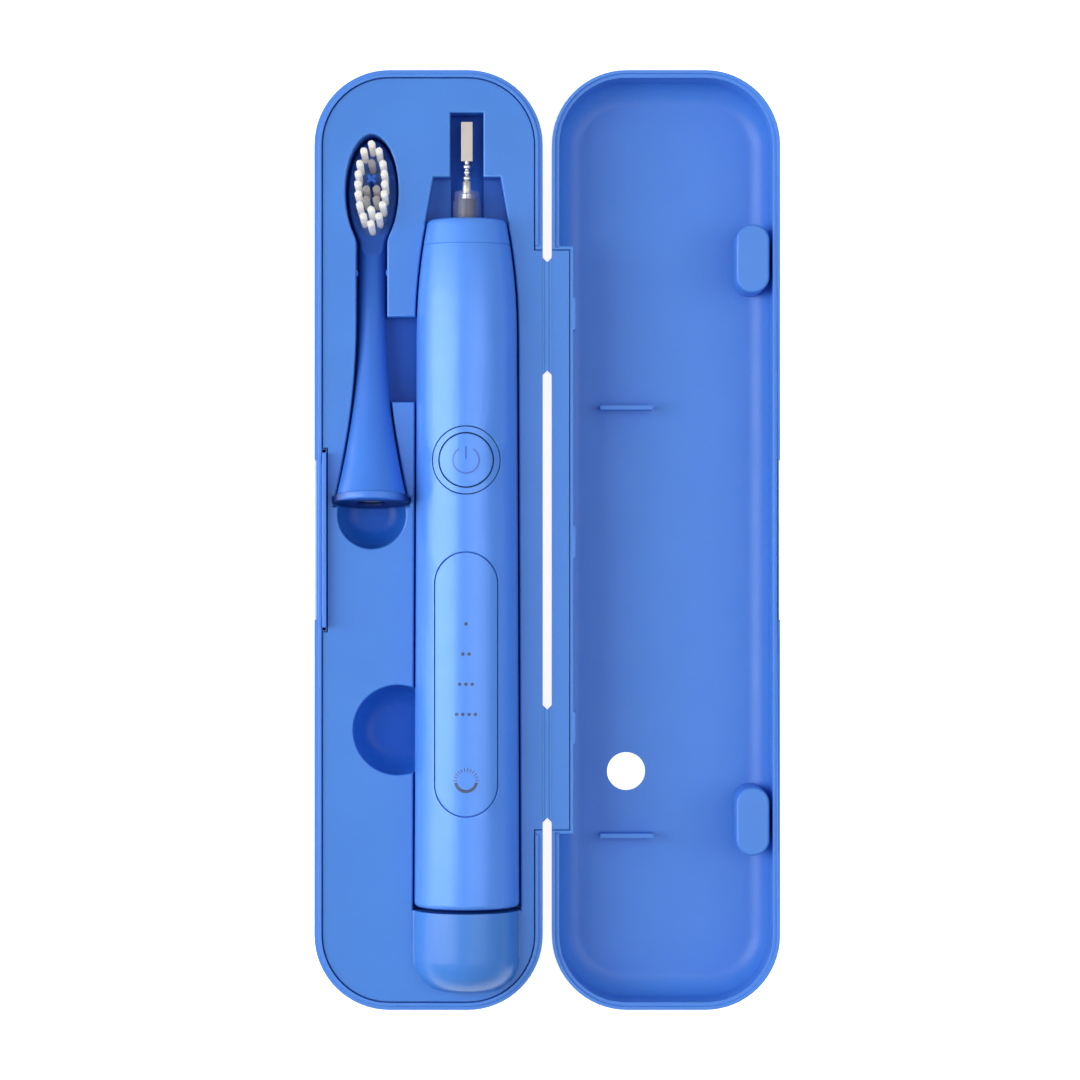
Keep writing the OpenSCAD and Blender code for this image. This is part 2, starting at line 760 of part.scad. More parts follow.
// Revolved body of the handle between two heights, drawn in by inset
module handle_solid(from, to, inset = 0) {
    on_handle() rotate_extrude() polygon(concat(
        [[0, from]], [for (h = handle_stops(from, to)) [handle_r(h) - inset, h]], [[0, to]]));
}

// Upright prism with round ends over the handle's button side
module pill(grow = 0) {
    r = panel_w / 2;
    over_handle() linear_extrude(handle_foot_r + 5) {
        for (y = [panel_from + r, panel_from + panel_len - r]) translate([0, y]) circle(r + grow);
        translate([-r - grow, panel_from + r]) square([2 * (r + grow), panel_len - 2 * r]);
    }
}

module handle_housing() {
    inner_foot = handle_foot_r - handle_wall;
    color(handle_blue) difference() {
        on_handle() rotate_extrude() polygon(concat(
            [[inner_foot, 0]],
            arc(handle_foot_r - foot_round, foot_round, foot_round, -90, 0, 4),
            [for (h = handle_stops(foot_round, collar_h)) if (h > foot_round) [handle_r(h), h]],
            [for (i = [0:shoulder_steps]) let (h = collar_h - (collar_h - shoulder_h) * i / shoulder_steps)
                [handle_r(h) - handle_wall, h]]));
        // seat of the indicator panel
        difference() {
            pill(0.1);
            handle_solid(panel_from - 5, panel_from + panel_len + 5, panel_t + 0.05);
        }
        over_handle() {
            for (y = light_heights) translate([0, y, 5]) cylinder(r = light_r, h = far);
            translate([0, button_h, 5]) cylinder(r = ring_r + 0.05, h = far);
        }
    }
}

module handle_collar() {
    spigot_r = handle_r(collar_h) - handle_wall - 0.1;
    r = handle_r(handle_len - collar_round);
    color(handle_blue) on_handle() rotate_extrude() polygon(concat(
        [[spigot_r - 1.3, collar_h - spigot_len], [spigot_r, collar_h - spigot_len],
            [spigot_r, collar_h + eps],
            [handle_r(collar_h), collar_h + eps]],
        arc(r - collar_round, handle_len - collar_round, collar_round, 0, 90, 4),
        [[boot_r + 0.08, handle_len], [boot_r + 0.08, handle_len - 2],
            [spigot_r - 1.3, handle_len - 2]]));
}

module end_cap() {
    r = handle_foot_r - handle_wall - 0.1;
    groove = 0.9;
    color(handle_blue) on_handle() rotate_extrude() polygon([
        [0, 0.3], [r - 0.5, 0.3], [r, 0.8], [r, cap_t / 2 - groove], [r - 1.4, cap_t / 2 - groove],
        [r - 1.4, cap_t / 2 + groove], [r, cap_t / 2 + groove], [r, cap_t], [0, cap_t]
    ]);
}

module cap_seal() {
    r = handle_foot_r - handle_wall - 0.1;
    color(dark) on_handle() translate([0, 0, cap_t / 2]) rotate_extrude()
        translate([r - 0.72, 0]) circle(0.66);
}

module button_ring() {
    color(handle_blue) difference() {
        intersection() {
            over_handle() translate([0, button_h, board_top + 0.8]) cylinder(r = ring_r, h = far / 10);
            handle_solid(button_h - 2 * ring_r, button_h + 2 * ring_r, 0.12);
        }
        over_handle() translate([0, button_h, 0]) cylinder(r = ring_r - ring_w, h = far / 10);
    }
}

module power_button() {
    under = board_top + 3;
    color(handle_blue) {
        intersection() {
            over_handle() translate([0, button_h, under]) cylinder(r = button_r, h = far / 10);
            handle_solid(button_h - 2 * ring_r, button_h + 2 * ring_r);
        }
        over_handle() translate([0, button_h, board_top + switch_h + button_travel + 0.1])
            cylinder(r = stem_r, h = under - board_top - switch_h - button_travel + 0.4);
    }
}

module indicator_panel() {
    color(handle_blue) difference() {
        intersection() {
            pill();
            handle_solid(panel_from - 5, panel_from + panel_len + 5);
        }
        handle_solid(panel_from - 6, panel_from + panel_len + 6, panel_t);
    }
}

// ---------------------------------------------------------------- handle, inside

module light_guide() {
    from = light_heights[0] - guide_end;
    to = light_heights[mode_count] + guide_end;
    tip = handle_r(to) - panel_t - 0.45;
    color(white) over_handle() {
        translate([-guide_w / 2, from, guide_z]) cube([guide_w, to - from, guide_t]);
        for (y = light_heights)
            translate([0, y, guide_z + guide_t / 2])
                cylinder(r = light_r - 0.15, h = tip - guide_z - guide_t / 2);
        for (y = [from, to - guide_t])
            translate([-guide_w / 2, y, board_top])
                cube([guide_w, guide_t, guide_z - board_top + guide_t / 2]);
    }
}

module lights() {
    color(white) over_handle() for (y = light_heights)
        translate([-1, y - 0.7, board_top]) cube([2, 1.4, 0.7]);
}

module circuit_board() {
    color(board_green) over_handle() difference() {
        translate([-board_w / 2, board_from, board_z]) cube([board_w, board_to - board_from, board_t]);
        for (p = screw_places) translate(p) cylinder(r = screw_r + 0.1, h = far / 10);
    }
}

module button_switch() {
    side = 4.6;
    color(dark) over_handle() difference() {
        translate([-side / 2, button_h - side / 2, board_top]) cube([side, side, switch_h]);
        translate([0, button_h, board_top + 0.2]) cylinder(r = plunger_r + 0.1, h = far / 10);
    }
}

module switch_plunger() {
    foot = board_top + 0.2 + button_travel + 0.1;
    top = board_top + switch_h + button_travel + 0.1;
    color(white) over_handle() translate([0, button_h, foot]) cylinder(r = plunger_r, h = top - foot);
}

module board_screws() {
    color(metal) over_handle() for (p = screw_places) translate(p) {
        translate([0, 0, board_z - 2.2]) cylinder(r = screw_r, h = board_t + 2.4);
        difference() {
            translate([0, 0, board_top]) cylinder(r = screw_head, h = screw_r);
            for (a = [0, 90])
                rotate([0, 0, a]) translate([-screw_head * 0.65, -0.15, board_top + screw_r * 0.6])
                    cube([screw_head * 1.3, 0.3, 1]);
        }
    }
}

module chassis() {
    cell_bay = cell_from - bay_gap;
    second_bay = cell_end + bay_gap + bulkhead_t;
    color(white) difference() {
        on_handle() difference() {
            union() {
                translate([0, 0, cell_bay - 1.5]) cylinder(r = chassis_r, h = board_to + 1.5 - cell_bay);
                translate([0, 0, board_to - 1])
                    cylinder(r = cradle_r, h = motor_end + cradle_len + 1 - board_to);
            }
            translate([0, 0, cell_bay]) cylinder(r = bay_r, h = cell_len + 2 * bay_gap);
            translate([0, 0, second_bay]) cylinder(r = bay_r, h = board_to - bulkhead_t - second_bay);
            translate([0, 0, motor_from - bay_gap])
                cylinder(r = motor_r + 0.1, h = motor_len + 2 * bay_gap);
            translate([0, 0, motor_end]) cylinder(r = shaft_r + 2.2, h = 10);
        }
        // open side under the board
        over_handle() {
            translate([-far / 2, -1, board_z]) cube([far, far, far]);
            for (p = screw_places)
                translate([p[0], p[1], board_z - 2.6]) cylinder(r = screw_r + 0.05, h = far / 10);
        }
    }
}

module battery_cell() {
    color(grey) on_handle() translate([0, cell_drop, cell_from]) {
        cylinder(r = cell_r, h = cell_len - 1);
        cylinder(r = cell_r * 0.4, h = cell_len);
    }
}

module charging_coil() {
    color(copper) on_handle() translate([0, 0, coil_from]) difference() {
        cylinder(r = coil_r, h = coil_len);
        translate([0, 0, -1]) cylinder(r = coil_r * 0.6, h = coil_len + 2);
    }
}

module coil_core() {
    color(dark) on_handle() translate([0, 0, cap_t]) cylinder(r = coil_r * 0.6 - 0.1, h = coil_len + 0.5);
}

module motor_can() {
    skin = 0.6;
    color(metal) on_handle() translate([0, 0, motor_from]) difference() {
        cylinder(r = motor_r, h = motor_len);
        translate([0, 0, skin]) cylinder(r = motor_r - skin, h = motor_len - 2 * skin);
        translate([0, 0, -1]) cylinder(r = shaft_r + 1.2, h = motor_len + 2);
    }
}

module stator_coil() {
    color(copper) on_handle() translate([0, 0, motor_from + winding_inset]) difference() {
        cylinder(r = motor_r - 0.65, h = motor_len - 2 * winding_inset);
        translate([0, 0, -1]) cylinder(r = motor_r - 2, h = motor_len);
    }
}

module rotor_magnet() {
    color(dark) on_handle() translate([0, 0, motor_from + winding_inset]) difference() {
        cylinder(r = motor_r - 2.4, h = motor_len - 2 * winding_inset);
        translate([0, 0, -1]) cylinder(r = shaft_r, h = motor_len);
    }
}

module shaft_bushes() {
    color(copper) on_handle() for (h = [motor_from, motor_end - 3])
        translate([0, 0, h]) difference() {
            cylinder(r = shaft_r + 1.2, h = 3);
            translate([0, 0, -1]) cylinder(r = shaft_r + shaft_gap, h = 5);
        }
}

module drive_shaft() {
    waist = bead_r * 0.6;
    step = (blade_from - spindle_end) / 6;
    beads = [[0.5, 1], [1.1, 1], [1.9, 0.6], [2.4, 0.75], [2.8, 0.75], [3.4, 0.6], [4.1, 1], [4.7, 1],
        [5.5, 0.6]];
    color(metal) {
        on_handle() rotate_extrude() polygon(concat(
            [[0, motor_from + 0.5], [shaft_r, motor_from + 0.5], [shaft_r, handle_len + boot_out - 0.7],
                [spindle_r, handle_len + boot_out - 0.4], [spindle_r, spindle_end - 0.4],
                [waist, spindle_end]],
            [for (b = beads) [bead_r * b[1], spindle_end + step * b[0]]],
            [[waist, blade_from + 0.3], [0, blade_from + 0.3]]));
        over_handle() translate([-blade_w / 2, blade_from, -blade_t / 2])
            cube([blade_w, blade_len, blade_t]);
    }
}

module shaft_boot() {
    bore = shaft_r + 0.08;
    top = handle_len + boot_out;
    color(boot_grey) on_handle() rotate_extrude() polygon([
        [bore, handle_len - 3.4], [boot_r + 1.4, handle_len - 3.4], [boot_r + 1.4, handle_len - 2.1],
        [boot_r, handle_len - 2.1], [boot_r, handle_len + boot_step],
        [boot_tip_r, handle_len + boot_step + 0.1], [boot_tip_r, top], [bore, top]
    ]);
}

// ---------------------------------------------------------------- brush head

module head_body() {
    color(head_blue) difference() {
        on_head() rotate_extrude() polygon(concat([[0, head_ring_len]], head_outline()));
        back_cut();
        // flat face of the bristle plate, running out into the neck
        over_head() rotate([90, 0, 90]) linear_extrude(far, center = true) polygon(concat(
            arc(paddle_foot + 1, paddle_top + 6, 6, 200, 270), [[far, paddle_top], [far, far]]));
        // seat of the socket
        on_head() translate([0, 0, -1]) {
            cylinder(r = socket_r + socket_wall + 0.05, h = socket_depth + socket_wall + 1.05);
            cylinder(r = pin_r + socket_wall * 0.7 + 0.05, h = socket_end + 1.05);
        }
        // seat of the plate and of the slices under it
        on_plate() translate([0, 0, -plate_t - slice_t]) linear_extrude(9) slice_plan(slice_gap);
    }
}

module head_plate() {
    color(head_blue) on_plate() translate([0, 0, -plate_t]) linear_extrude(plate_t) difference() {
        slice_plan();
        for (p = concat(white_places, grey_places)) translate(p) circle(tuft_r + strand_r + 0.06, $fn = 24);
        translate(cross_place) cross_plan(0.05);
    }
}

module head_ring() {
    color(head_blue) on_head() rotate_extrude() polygon([
        [socket_r, 0], [head_base_r - 0.3, 0], [head_base_r, 0.3],
        [head_base_r, head_ring_len - 0.2], [head_base_r - 0.2, head_ring_len],
        [socket_r + socket_wall + 0.2, head_ring_len], [socket_r + socket_wall + 0.2, 0.8],
        [socket_r, 0.8]
    ]);
}

module head_socket() {
    color(white) difference() {
        on_head() {
            difference() {
                union() {
                    translate([0, 0, 0.85])
                        cylinder(r = socket_r + socket_wall, h = socket_depth + socket_wall - 0.85);
                    translate([0, 0, 2])
                        cylinder(r = pin_r + socket_wall * 0.7, h = socket_end - 2);
                }
                cylinder(r = socket_r, h = socket_depth);
                cylinder(r = pin_r, h = blade_from - handle_len);
            }
        }
        over_head() translate([-blade_w / 2 - 0.05, 5, -blade_t / 2 - 0.05])
            cube([blade_w + 0.1, shaft_out - 4.8, blade_t + 0.1]);
    }
}

// Plan of the slices that carry the tufts, drawn round the tuft oval
module slice_plan(grow = 0) {
    w = oval_half_w + slice_edge + grow;
    len = oval_half_len + slice_edge + grow;
    polygon([for (i = [0:35]) [w * cos(10 * i), len * sin(10 * i)]]);
}

// Plan of the middle slice, which carries the grey tufts and the cross
module window_plan(grow = 0) {
    for (r = window_rows)
        translate([-r[0] - grow, r[1] - grow]) square([2 * (r[0] + grow), r[2] - r[1] + 2 * grow]);
}

// Plan of the soft cross between the tufts
module cross_plan(grow = 0) {
    for (a = [45, 135]) rotate(a) square([2.6 + 2 * grow, 0.8 + 2 * grow], center = true);
}

// Tufts of straight bristles that stand in their slice
module tufts(places, length) {
    foot = -plate_t - slice_t / 2;
    for (p = places, ring = tuft_rings, i = [0:ring[1] - 1])
        translate([p[0], p[1], foot]) rotate([0, 0, 360 * i / ring[1]])
            translate([ring[0] * tuft_r, 0, 0])
                cylinder(r = strand_r, h = length - foot, $fn = 3);
}

// Places things on the face of the bristle plate
module on_plate() {
    over_head() translate([0, paddle_mid, paddle_top]) children();
}

module white_tufts() {
    color(white) on_plate() {
        tufts(white_places, bristle_len);
        translate([0, 0, -plate_t - slice_t]) linear_extrude(slice_t) difference() {
            slice_plan();
            window_plan(slice_gap);
        }
    }
}

module grey_tufts() {
    color(grey) on_plate() {
        tufts(grey_places, bristle_len - 0.8);
        translate([0, 0, -plate_t - slice_t]) linear_extrude(slice_t) window_plan();
    }
}

module cross_tuft() {
    color(head_blue) on_plate() translate([cross_place[0], cross_place[1], -plate_t])
        linear_extrude(plate_t + bristle_len - 2) cross_plan();
}

base_shell();
inner_tray();
hinge_web_upper();
hinge_web_lower();
hinge_leaf();
lid_shell();
handle_housing();
handle_collar();
end_cap();
cap_seal();
button_ring();
power_button();
switch_plunger();
indicator_panel();
light_guide();
lights();
circuit_board();
button_switch();
board_screws();
chassis();
battery_cell();
charging_coil();
coil_core();
motor_can();
stator_coil();
rotor_magnet();
shaft_bushes();
drive_shaft();
shaft_boot();
head_body();
head_ring();
head_socket();
head_plate();
white_tufts();
grey_tufts();
cross_tuft();
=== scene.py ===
"""Looks of an electric toothbrush travel case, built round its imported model.

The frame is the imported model's: +Y towards the brush tips, +X from the base half to the lid half,
+Z up out of the open case. Blender works in metres; sizes are millimetres unless stated.
"""

import logging
import math
from contextlib import contextmanager
from dataclasses import dataclass, replace
from enum import Enum
from typing import Callable, Iterator, Sequence

import bmesh
import bpy
from mathutils import Matrix, Vector


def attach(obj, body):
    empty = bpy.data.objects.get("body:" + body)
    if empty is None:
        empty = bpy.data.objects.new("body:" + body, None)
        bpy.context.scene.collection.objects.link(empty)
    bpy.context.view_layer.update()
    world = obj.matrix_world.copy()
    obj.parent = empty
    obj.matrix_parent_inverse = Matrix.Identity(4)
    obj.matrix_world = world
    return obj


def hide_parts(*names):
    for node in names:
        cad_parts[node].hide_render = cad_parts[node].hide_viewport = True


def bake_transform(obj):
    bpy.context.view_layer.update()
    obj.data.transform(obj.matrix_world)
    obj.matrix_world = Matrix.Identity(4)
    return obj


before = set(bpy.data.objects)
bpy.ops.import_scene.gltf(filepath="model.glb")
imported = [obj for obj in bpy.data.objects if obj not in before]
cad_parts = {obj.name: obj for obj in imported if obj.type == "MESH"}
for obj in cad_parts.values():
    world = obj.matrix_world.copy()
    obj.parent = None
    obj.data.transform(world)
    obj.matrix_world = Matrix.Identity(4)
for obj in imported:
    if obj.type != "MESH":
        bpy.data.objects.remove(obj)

log = logging.getLogger("travel_case")

MM = 0.001
GOLDEN_ANGLE = 137.508

Colour = tuple[float, float, float]
Point = tuple[float, float, float]
Span = tuple[float, float]
Piece = bpy.types.Object
Material = bpy.types.Material
Socket = bpy.types.NodeSocket
Edge = bmesh.types.BMEdge
Face = bmesh.types.BMFace
EdgeTest = Callable[[Edge], bool]
Rounding = tuple[float, EdgeTest, int]


class Half(Enum):
    """The two ends of the hinge zone."""

    UPPER = 1
    LOWER = -1


class Part(Enum):
    """What is picked in a mesh, with its name in edit mode."""

    VERTS = "VERT"
    EDGES = "EDGE"
    FACES = "FACE"


class Skin(Enum):
    """What a moulded surface feels like: mean roughness, and depth of the mould's grain."""

    MATT = (0.44, 0.014)
    SATIN = (0.34, 0.012)
    SMOOTH = (0.16, 0.003)
    DULL = (0.55, 0.02)


# ---- bench: shaping by hand


def let_go() -> None:
    """Leaves edit mode and deselects everything."""
    if bpy.context.object and bpy.context.object.mode != "OBJECT":
        bpy.ops.object.mode_set(mode="OBJECT")
    bpy.ops.object.select_all(action="DESELECT")


def take(piece: Piece) -> None:
    """Selects one piece alone and makes it active."""
    let_go()
    piece.select_set(True)
    bpy.context.view_layer.objects.active = piece


@contextmanager
def editing(piece: Piece) -> Iterator[None]:
    """Holds a piece in edit mode with nothing selected."""
    take(piece)
    bpy.ops.object.mode_set(mode="EDIT")
    bpy.ops.mesh.select_mode(type="EDGE")
    bpy.ops.mesh.select_all(action="DESELECT")
    yield
    bpy.ops.object.mode_set(mode="OBJECT")


def pick_all() -> None:
    """Selects the whole of the piece that is in edit mode."""
    bpy.ops.mesh.select_all(action="SELECT")


def pick(piece: Piece, part: Part, wanted: Callable[..., bool]) -> int:
    """Selects corners, edges or faces of a piece that is in edit mode.

    Args:
        piece: The piece in edit mode.
        part: What is picked.
        wanted: Says of one corner, edge or face whether it is selected.

    Returns:
        How many are selected.
    """
    bpy.ops.mesh.select_mode(type=part.value)
    bpy.ops.mesh.select_all(action="DESELECT")
    sheet = bmesh.from_edit_mesh(piece.data)
    chosen = [item for item in getattr(sheet, part.name.lower()) if wanted(item)]
    for item in chosen:
        item.select_set(True)
    bmesh.update_edit_mesh(piece.data)
    return len(chosen)


def crisp(edge: Edge, degrees: float = 35) -> bool:
    """Whether two faces meet at an edge at more than an angle."""
    return len(edge.link_faces) == 2 and edge.calc_face_angle(0) > math.radians(degrees)


def between(edge: Edge, low: Point, high: Point) -> bool:
    """Whether both ends of an edge lie in a box."""
    return all(low[i] * MM <= v.co[i] <= high[i] * MM for v in edge.verts for i in range(3))


def soften(piece: Piece, width: float, wanted: EdgeTest, segments: int = 3) -> None:
    """Rounds the wanted edges of a piece, to a width, in some segments."""
    with editing(piece):
        if pick(piece, Part.EDGES, wanted):
            bpy.ops.mesh.bevel(
                offset=width * MM, segments=segments, affect="EDGES", clamp_overlap=False
            )


def copy_of(node: str, name: str) -> Piece:
    """A merged copy of a CAD node's mesh under a new name, to be worked on."""
    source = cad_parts[node]
    piece = bpy.data.objects.new(name, source.data.copy())
    bpy.context.scene.collection.objects.link(piece)
    piece.data.transform(source.matrix_world)
    piece.data.materials.clear()
    with editing(piece):
        bpy.ops.mesh.customdata_custom_splitnormals_clear()
        pick_all()
        bpy.ops.mesh.remove_doubles(threshold=0.002 * MM)
        bpy.ops.mesh.dissolve_limited(angle_limit=math.radians(0.6))
    return piece


def apply(piece: Piece, kind: str, **settings: object) -> None:
    """Adds a kind of modifier to a piece, with its settings, and applies it."""
    take(piece)
    modifier = piece.modifiers.new(kind.lower(), kind)
    for key, value in settings.items():
        setattr(modifier, key, value)
    bpy.ops.object.modifier_apply(modifier=modifier.name)


def smooth(piece: Piece, degrees: float = 32, weigh: bool = True) -> None:
    """Shades a piece smooth up to an angle, and lets large faces keep their normals."""
    take(piece)
    bpy.ops.object.shade_smooth_by_angle(angle=math.radians(degrees))
    if weigh:
        apply(piece, "WEIGHTED_NORMAL", keep_sharp=True, weight=60)


def eased(node: str, name: str, *roundings: Rounding, degrees: float = 32) -> Piece:
    """A copy of a CAD node with chosen edges rounded.

    Args:
        node: The CAD node.
        name: The new piece's name.
        roundings: Of each its width, the test of its edges, and its steps.
        degrees: Edges sharper than this stay sharp.

    Returns:
        The new piece.
    """
    piece = copy_of(node, name)
    for rounding in roundings:
        soften(piece, *rounding)
    smooth(piece, degrees)
    return piece


def settle(piece: Piece) -> None:
    """Moves a piece's place, turn and scale into its mesh."""
    take(piece)
    bpy.ops.object.transform_apply(location=True, rotation=True, scale=True)


def sized(name: str, size: Point) -> Piece:
    """The primitive just added, one metre wide, with its name and its three sizes."""
    piece = bpy.context.object
    piece.name = piece.data.name = name
    piece.scale = Vector(size) * MM
    settle(piece)
    return piece


def join(pieces: Sequence[Piece], name: str) -> Piece:
    """Joins several pieces into the first of them, under a new name."""
    let_go()
    for piece in pieces:
        piece.select_set(True)
    bpy.context.view_layer.objects.active = pieces[0]
    bpy.ops.object.join()
    pieces[0].name = pieces[0].data.name = name
    return pieces[0]


@dataclass(frozen=True)
class Datum:
    """A place with three directions, from which a piece is measured."""

    origin: Point
    tilt: float = 0.0

    @property
    def matrix(self) -> Matrix:
        """From this datum's millimetres to metres in the frame."""
        turn = Matrix.Rotation(math.radians(-self.tilt), 4, "X")
        return Matrix.Translation(Vector(self.origin) * MM) @ turn @ Matrix.Scale(MM, 4)

    def at(self, x: float, y: float, z: float) -> Vector:
        """A point in the frame, from one measured here."""
        return self.matrix @ Vector((x, y, z))

    @property
    def along(self) -> Vector:
        """The direction of the axis that things turn about."""
        return (self.matrix.to_3x3() @ Vector((0, 1, 0))).normalized()


def spun(
    name: str, points: Sequence[Vector], centre: Vector, axis: Vector, steps: int,
    angle: float = 2 * math.pi,
) -> Piece:
    """A piece spun from a line, which is drawn by pulling a corner from point to point.

    Args:
        name: The piece's name.
        points: The line's points.
        centre: A point of the axis.
        axis: The axis's direction.
        steps: Steps on the way.
        angle: How far it turns, in radians.

    Returns:
        The piece.
    """
    let_go()
    bpy.ops.mesh.primitive_plane_add(size=MM, location=(0, 0, 0))
    piece = bpy.context.object
    piece.name = piece.data.name = name
    with editing(piece):
        bpy.ops.mesh.select_mode(type="VERT")
        pick_all()
        bpy.ops.mesh.merge(type="CENTER")
        bpy.ops.transform.translate(value=points[0])
        for last, point in zip(points, points[1:]):
            bpy.ops.mesh.extrude_vertices_move(TRANSFORM_OT_translate={"value": point - last})
    with editing(piece):
        pick_all()
        bpy.ops.mesh.spin(steps=steps, angle=angle, center=centre, axis=axis, dupli=False)
        pick_all()
        bpy.ops.mesh.remove_doubles(threshold=0.0005 * MM)
        bpy.ops.mesh.normals_make_consistent(inside=False)
    return piece


def turned(name: str, datum: Datum, profile: Sequence[Span], steps: int = 96) -> Piece:
    """A piece turned about a datum's axis, from the radii and heights of its section."""
    points = [datum.at(radius, height, 0) for radius, height in profile]
    return spun(name, points, datum.at(0, 0, 0), datum.along, steps)


# ---- finishes


def linear(colour: Colour) -> Colour:
    """A screen colour from 0 to 255 as light."""
    return tuple(
        (c / 255 / 12.92) if c <= 10.3 else ((c / 255 + 0.055) / 1.055) ** 2.4 for c in colour
    )


def shade(colour: Colour, factor: float) -> Colour:
    """A colour made lighter or darker."""
    return tuple(min(1.0, c * factor) for c in colour)


def seen_by(tree: bpy.types.NodeTree, *rays: str) -> Socket:
    """One where either of two kinds of ray looks, else nought."""
    path = tree.nodes.new("ShaderNodeLightPath")
    either = tree.nodes.new("ShaderNodeMath")
    either.operation = "MAXIMUM"
    for ray, socket in zip(rays, either.inputs):
        tree.links.new(path.outputs[ray], socket)
    return either.outputs[0]


class Recipe:
    """A material's node tree while it is put together."""

    noise_span: Span = (0.3, 0.7)

    def __init__(self, name: str) -> None:
        """Starts a material with its surface shader."""
        self.material = bpy.data.materials.new(name)
        self.material.use_nodes = True
        self.tree = self.material.node_tree
        self.shader = self.tree.nodes["Principled BSDF"]
        self.place = self.add("ShaderNodeTexCoord").outputs["Object"]

    def add(self, kind: str, **settings: object) -> bpy.types.Node:
        """Adds a node and sets its properties."""
        node = self.tree.nodes.new(kind)
        for key, value in settings.items():
            setattr(node, key, value)
        return node

    def wire(self, source: Socket, target: Socket) -> None:
        """Joins two sockets."""
        self.tree.links.new(source, target)

    def set(self, **values: object) -> None:
        """Sets sockets of the surface shader, with words joined by underscores."""
        for key, value in values.items():
            self.shader.inputs[key.replace("_", " ")].default_value = value

    def noise(self, size: float, detail: float = 2.0, stretch: Point = (1, 1, 1)) -> Socket:
        """A cloudy pattern with patches of a size, finer along an axis by its stretch."""
        spread = self.add("ShaderNodeMapping")
        spread.inputs["Scale"].default_value = stretch
        self.wire(self.place, spread.inputs["Vector"])
        node = self.add("ShaderNodeTexNoise")
        node.inputs["Scale"].default_value = 1 / (size * MM)
        node.inputs["Detail"].default_value = detail
        self.wire(spread.outputs["Vector"], node.inputs["Vector"])
        return node.outputs["Fac"]

    def remap(self, value: Socket, old: Span, new: Span, curve: str = "LINEAR") -> Socket:
        """Takes numbers from one span to another, along a kind of curve."""
        node = self.add("ShaderNodeMapRange", interpolation_type=curve)
        for key, number in zip(("From Min", "From Max", "To Min", "To Max"), (*old, *new)):
            node.inputs[key].default_value = number
        self.wire(value, node.inputs["Value"])
        return node.outputs["Result"]

    def blend(self, factor: Socket, low: Colour, high: Colour | Socket) -> Socket:
        """A colour between two by a factor; the second may be a pattern itself."""
        node = self.add("ShaderNodeMix", data_type="RGBA")
        self.wire(factor, node.inputs[0])
        node.inputs[6].default_value = (*low, 1)
        if isinstance(high, tuple):
            node.inputs[7].default_value = (*high, 1)
        else:
            self.wire(high, node.inputs[7])
        return node.outputs[2]

    def tint(self, pattern: Socket, tone: Colour, low: float, high: float) -> None:
        """Colours the surface with a tone made darker and lighter by a noise pattern."""
        factor = self.remap(pattern, self.noise_span, (0, 1))
        colour = self.blend(factor, shade(tone, low), shade(tone, high))
        self.wire(colour, self.shader.inputs["Base Color"])

    def roughen(self, pattern: Socket, low: float, high: float) -> None:
        """Spreads the surface's roughness between two values by a noise pattern."""
        rough = self.remap(pattern, self.noise_span, (low, high))
        self.wire(rough, self.shader.inputs["Roughness"])

    def relief(self, value: Socket, depth: float) -> None:
        """Raises the surface by a pattern, to a depth."""
        node = self.add("ShaderNodeBump")
        node.inputs["Distance"].default_value = depth * MM
        self.wire(value, node.inputs["Height"])
        self.wire(node.outputs["Normal"], self.shader.inputs["Normal"])


@dataclass(frozen=True)
class Finish:
    """A named finish with its main colour, from 0 to 255 as on a screen."""

    name: str
    colour: Colour

    def build(self) -> Material:
        """Puts the material together."""
        recipe = Recipe(self.name)
        self.mix(recipe, linear(self.colour))
        return recipe.material


@dataclass(frozen=True)
class MouldedPlastic(Finish):
    """Injection moulded plastic with the fine grain of its mould.

    Where it has a painted shade tone, its colour runs into it and mirrors less between two heights
    in the frame: painted shade where the plastic lies low.
    """

    skin: Skin = Skin.SATIN
    grain_size: float = 0.28
    mottle: float = 0.03
    pearl: float = 0.0
    bleed: float = 0.25
    bleed_reach: float = 2.5
    bleed_radii: Colour = (0.25, 0.55, 1.0)
    painted_shade: Colour | None = None
    painted_shade_span: Span = (0.0, 1.0)
    painted_shade_shine: Span = (0.16, 0.5)

    def mix(self, recipe: Recipe, tone: Colour) -> None:
        """Sets up the shader."""
        roughness, grain = self.skin.value
        recipe.tint(recipe.noise(18, 3), tone, 1 - self.mottle, 1 + self.mottle)
        if self.painted_shade is not None:
            self.paint_shade(recipe)
        recipe.roughen(recipe.noise(6, 4), roughness * 0.93, roughness * 1.08)
        recipe.set(Metallic=self.pearl, IOR=1.5, Subsurface_Weight=self.bleed)
        recipe.set(Subsurface_Scale=self.bleed_reach * MM, Subsurface_Radius=self.bleed_radii)
        recipe.relief(recipe.noise(self.grain_size, 3), grain)

    def paint_shade(self, recipe: Recipe) -> None:
        """Paints shade: runs the colour into its darker tone, and lowers its reflection, where the
        plastic lies low.
        """
        split = recipe.add("ShaderNodeSeparateXYZ")
        recipe.wire(recipe.place, split.inputs[0])
        heights = tuple(height * MM for height in self.painted_shade_span)
        # Painted shade: the plastic's own tone at the top of the span, the darker tone and less
        # mirroring at its foot.
        depth = recipe.remap(split.outputs["Z"], heights, (0, 1), "SMOOTHSTEP")
        shine = recipe.remap(depth, (0, 1), self.painted_shade_shine)
        recipe.wire(shine, recipe.shader.inputs["Specular IOR Level"])
        base = recipe.shader.inputs["Base Color"]
        colour = base.links[0].from_socket
        recipe.wire(recipe.blend(depth, linear(self.painted_shade), colour), base)


@dataclass(frozen=True)
class TurnedMetal(Finish):
    """Metal with fine turning or drawing marks."""

    roughness: float = 0.22
    marks: Point = (1, 30, 1)

    def mix(self, recipe: Recipe, tone: Colour) -> None:
        """Sets up the shader."""
        lines = recipe.noise(1.2, 2, self.marks)
        recipe.tint(lines, tone, 0.93, 1)
        recipe.roughen(lines, self.roughness * 0.8, self.roughness * 1.25)
        recipe.set(Metallic=1.0)
        recipe.relief(lines, 0.004)


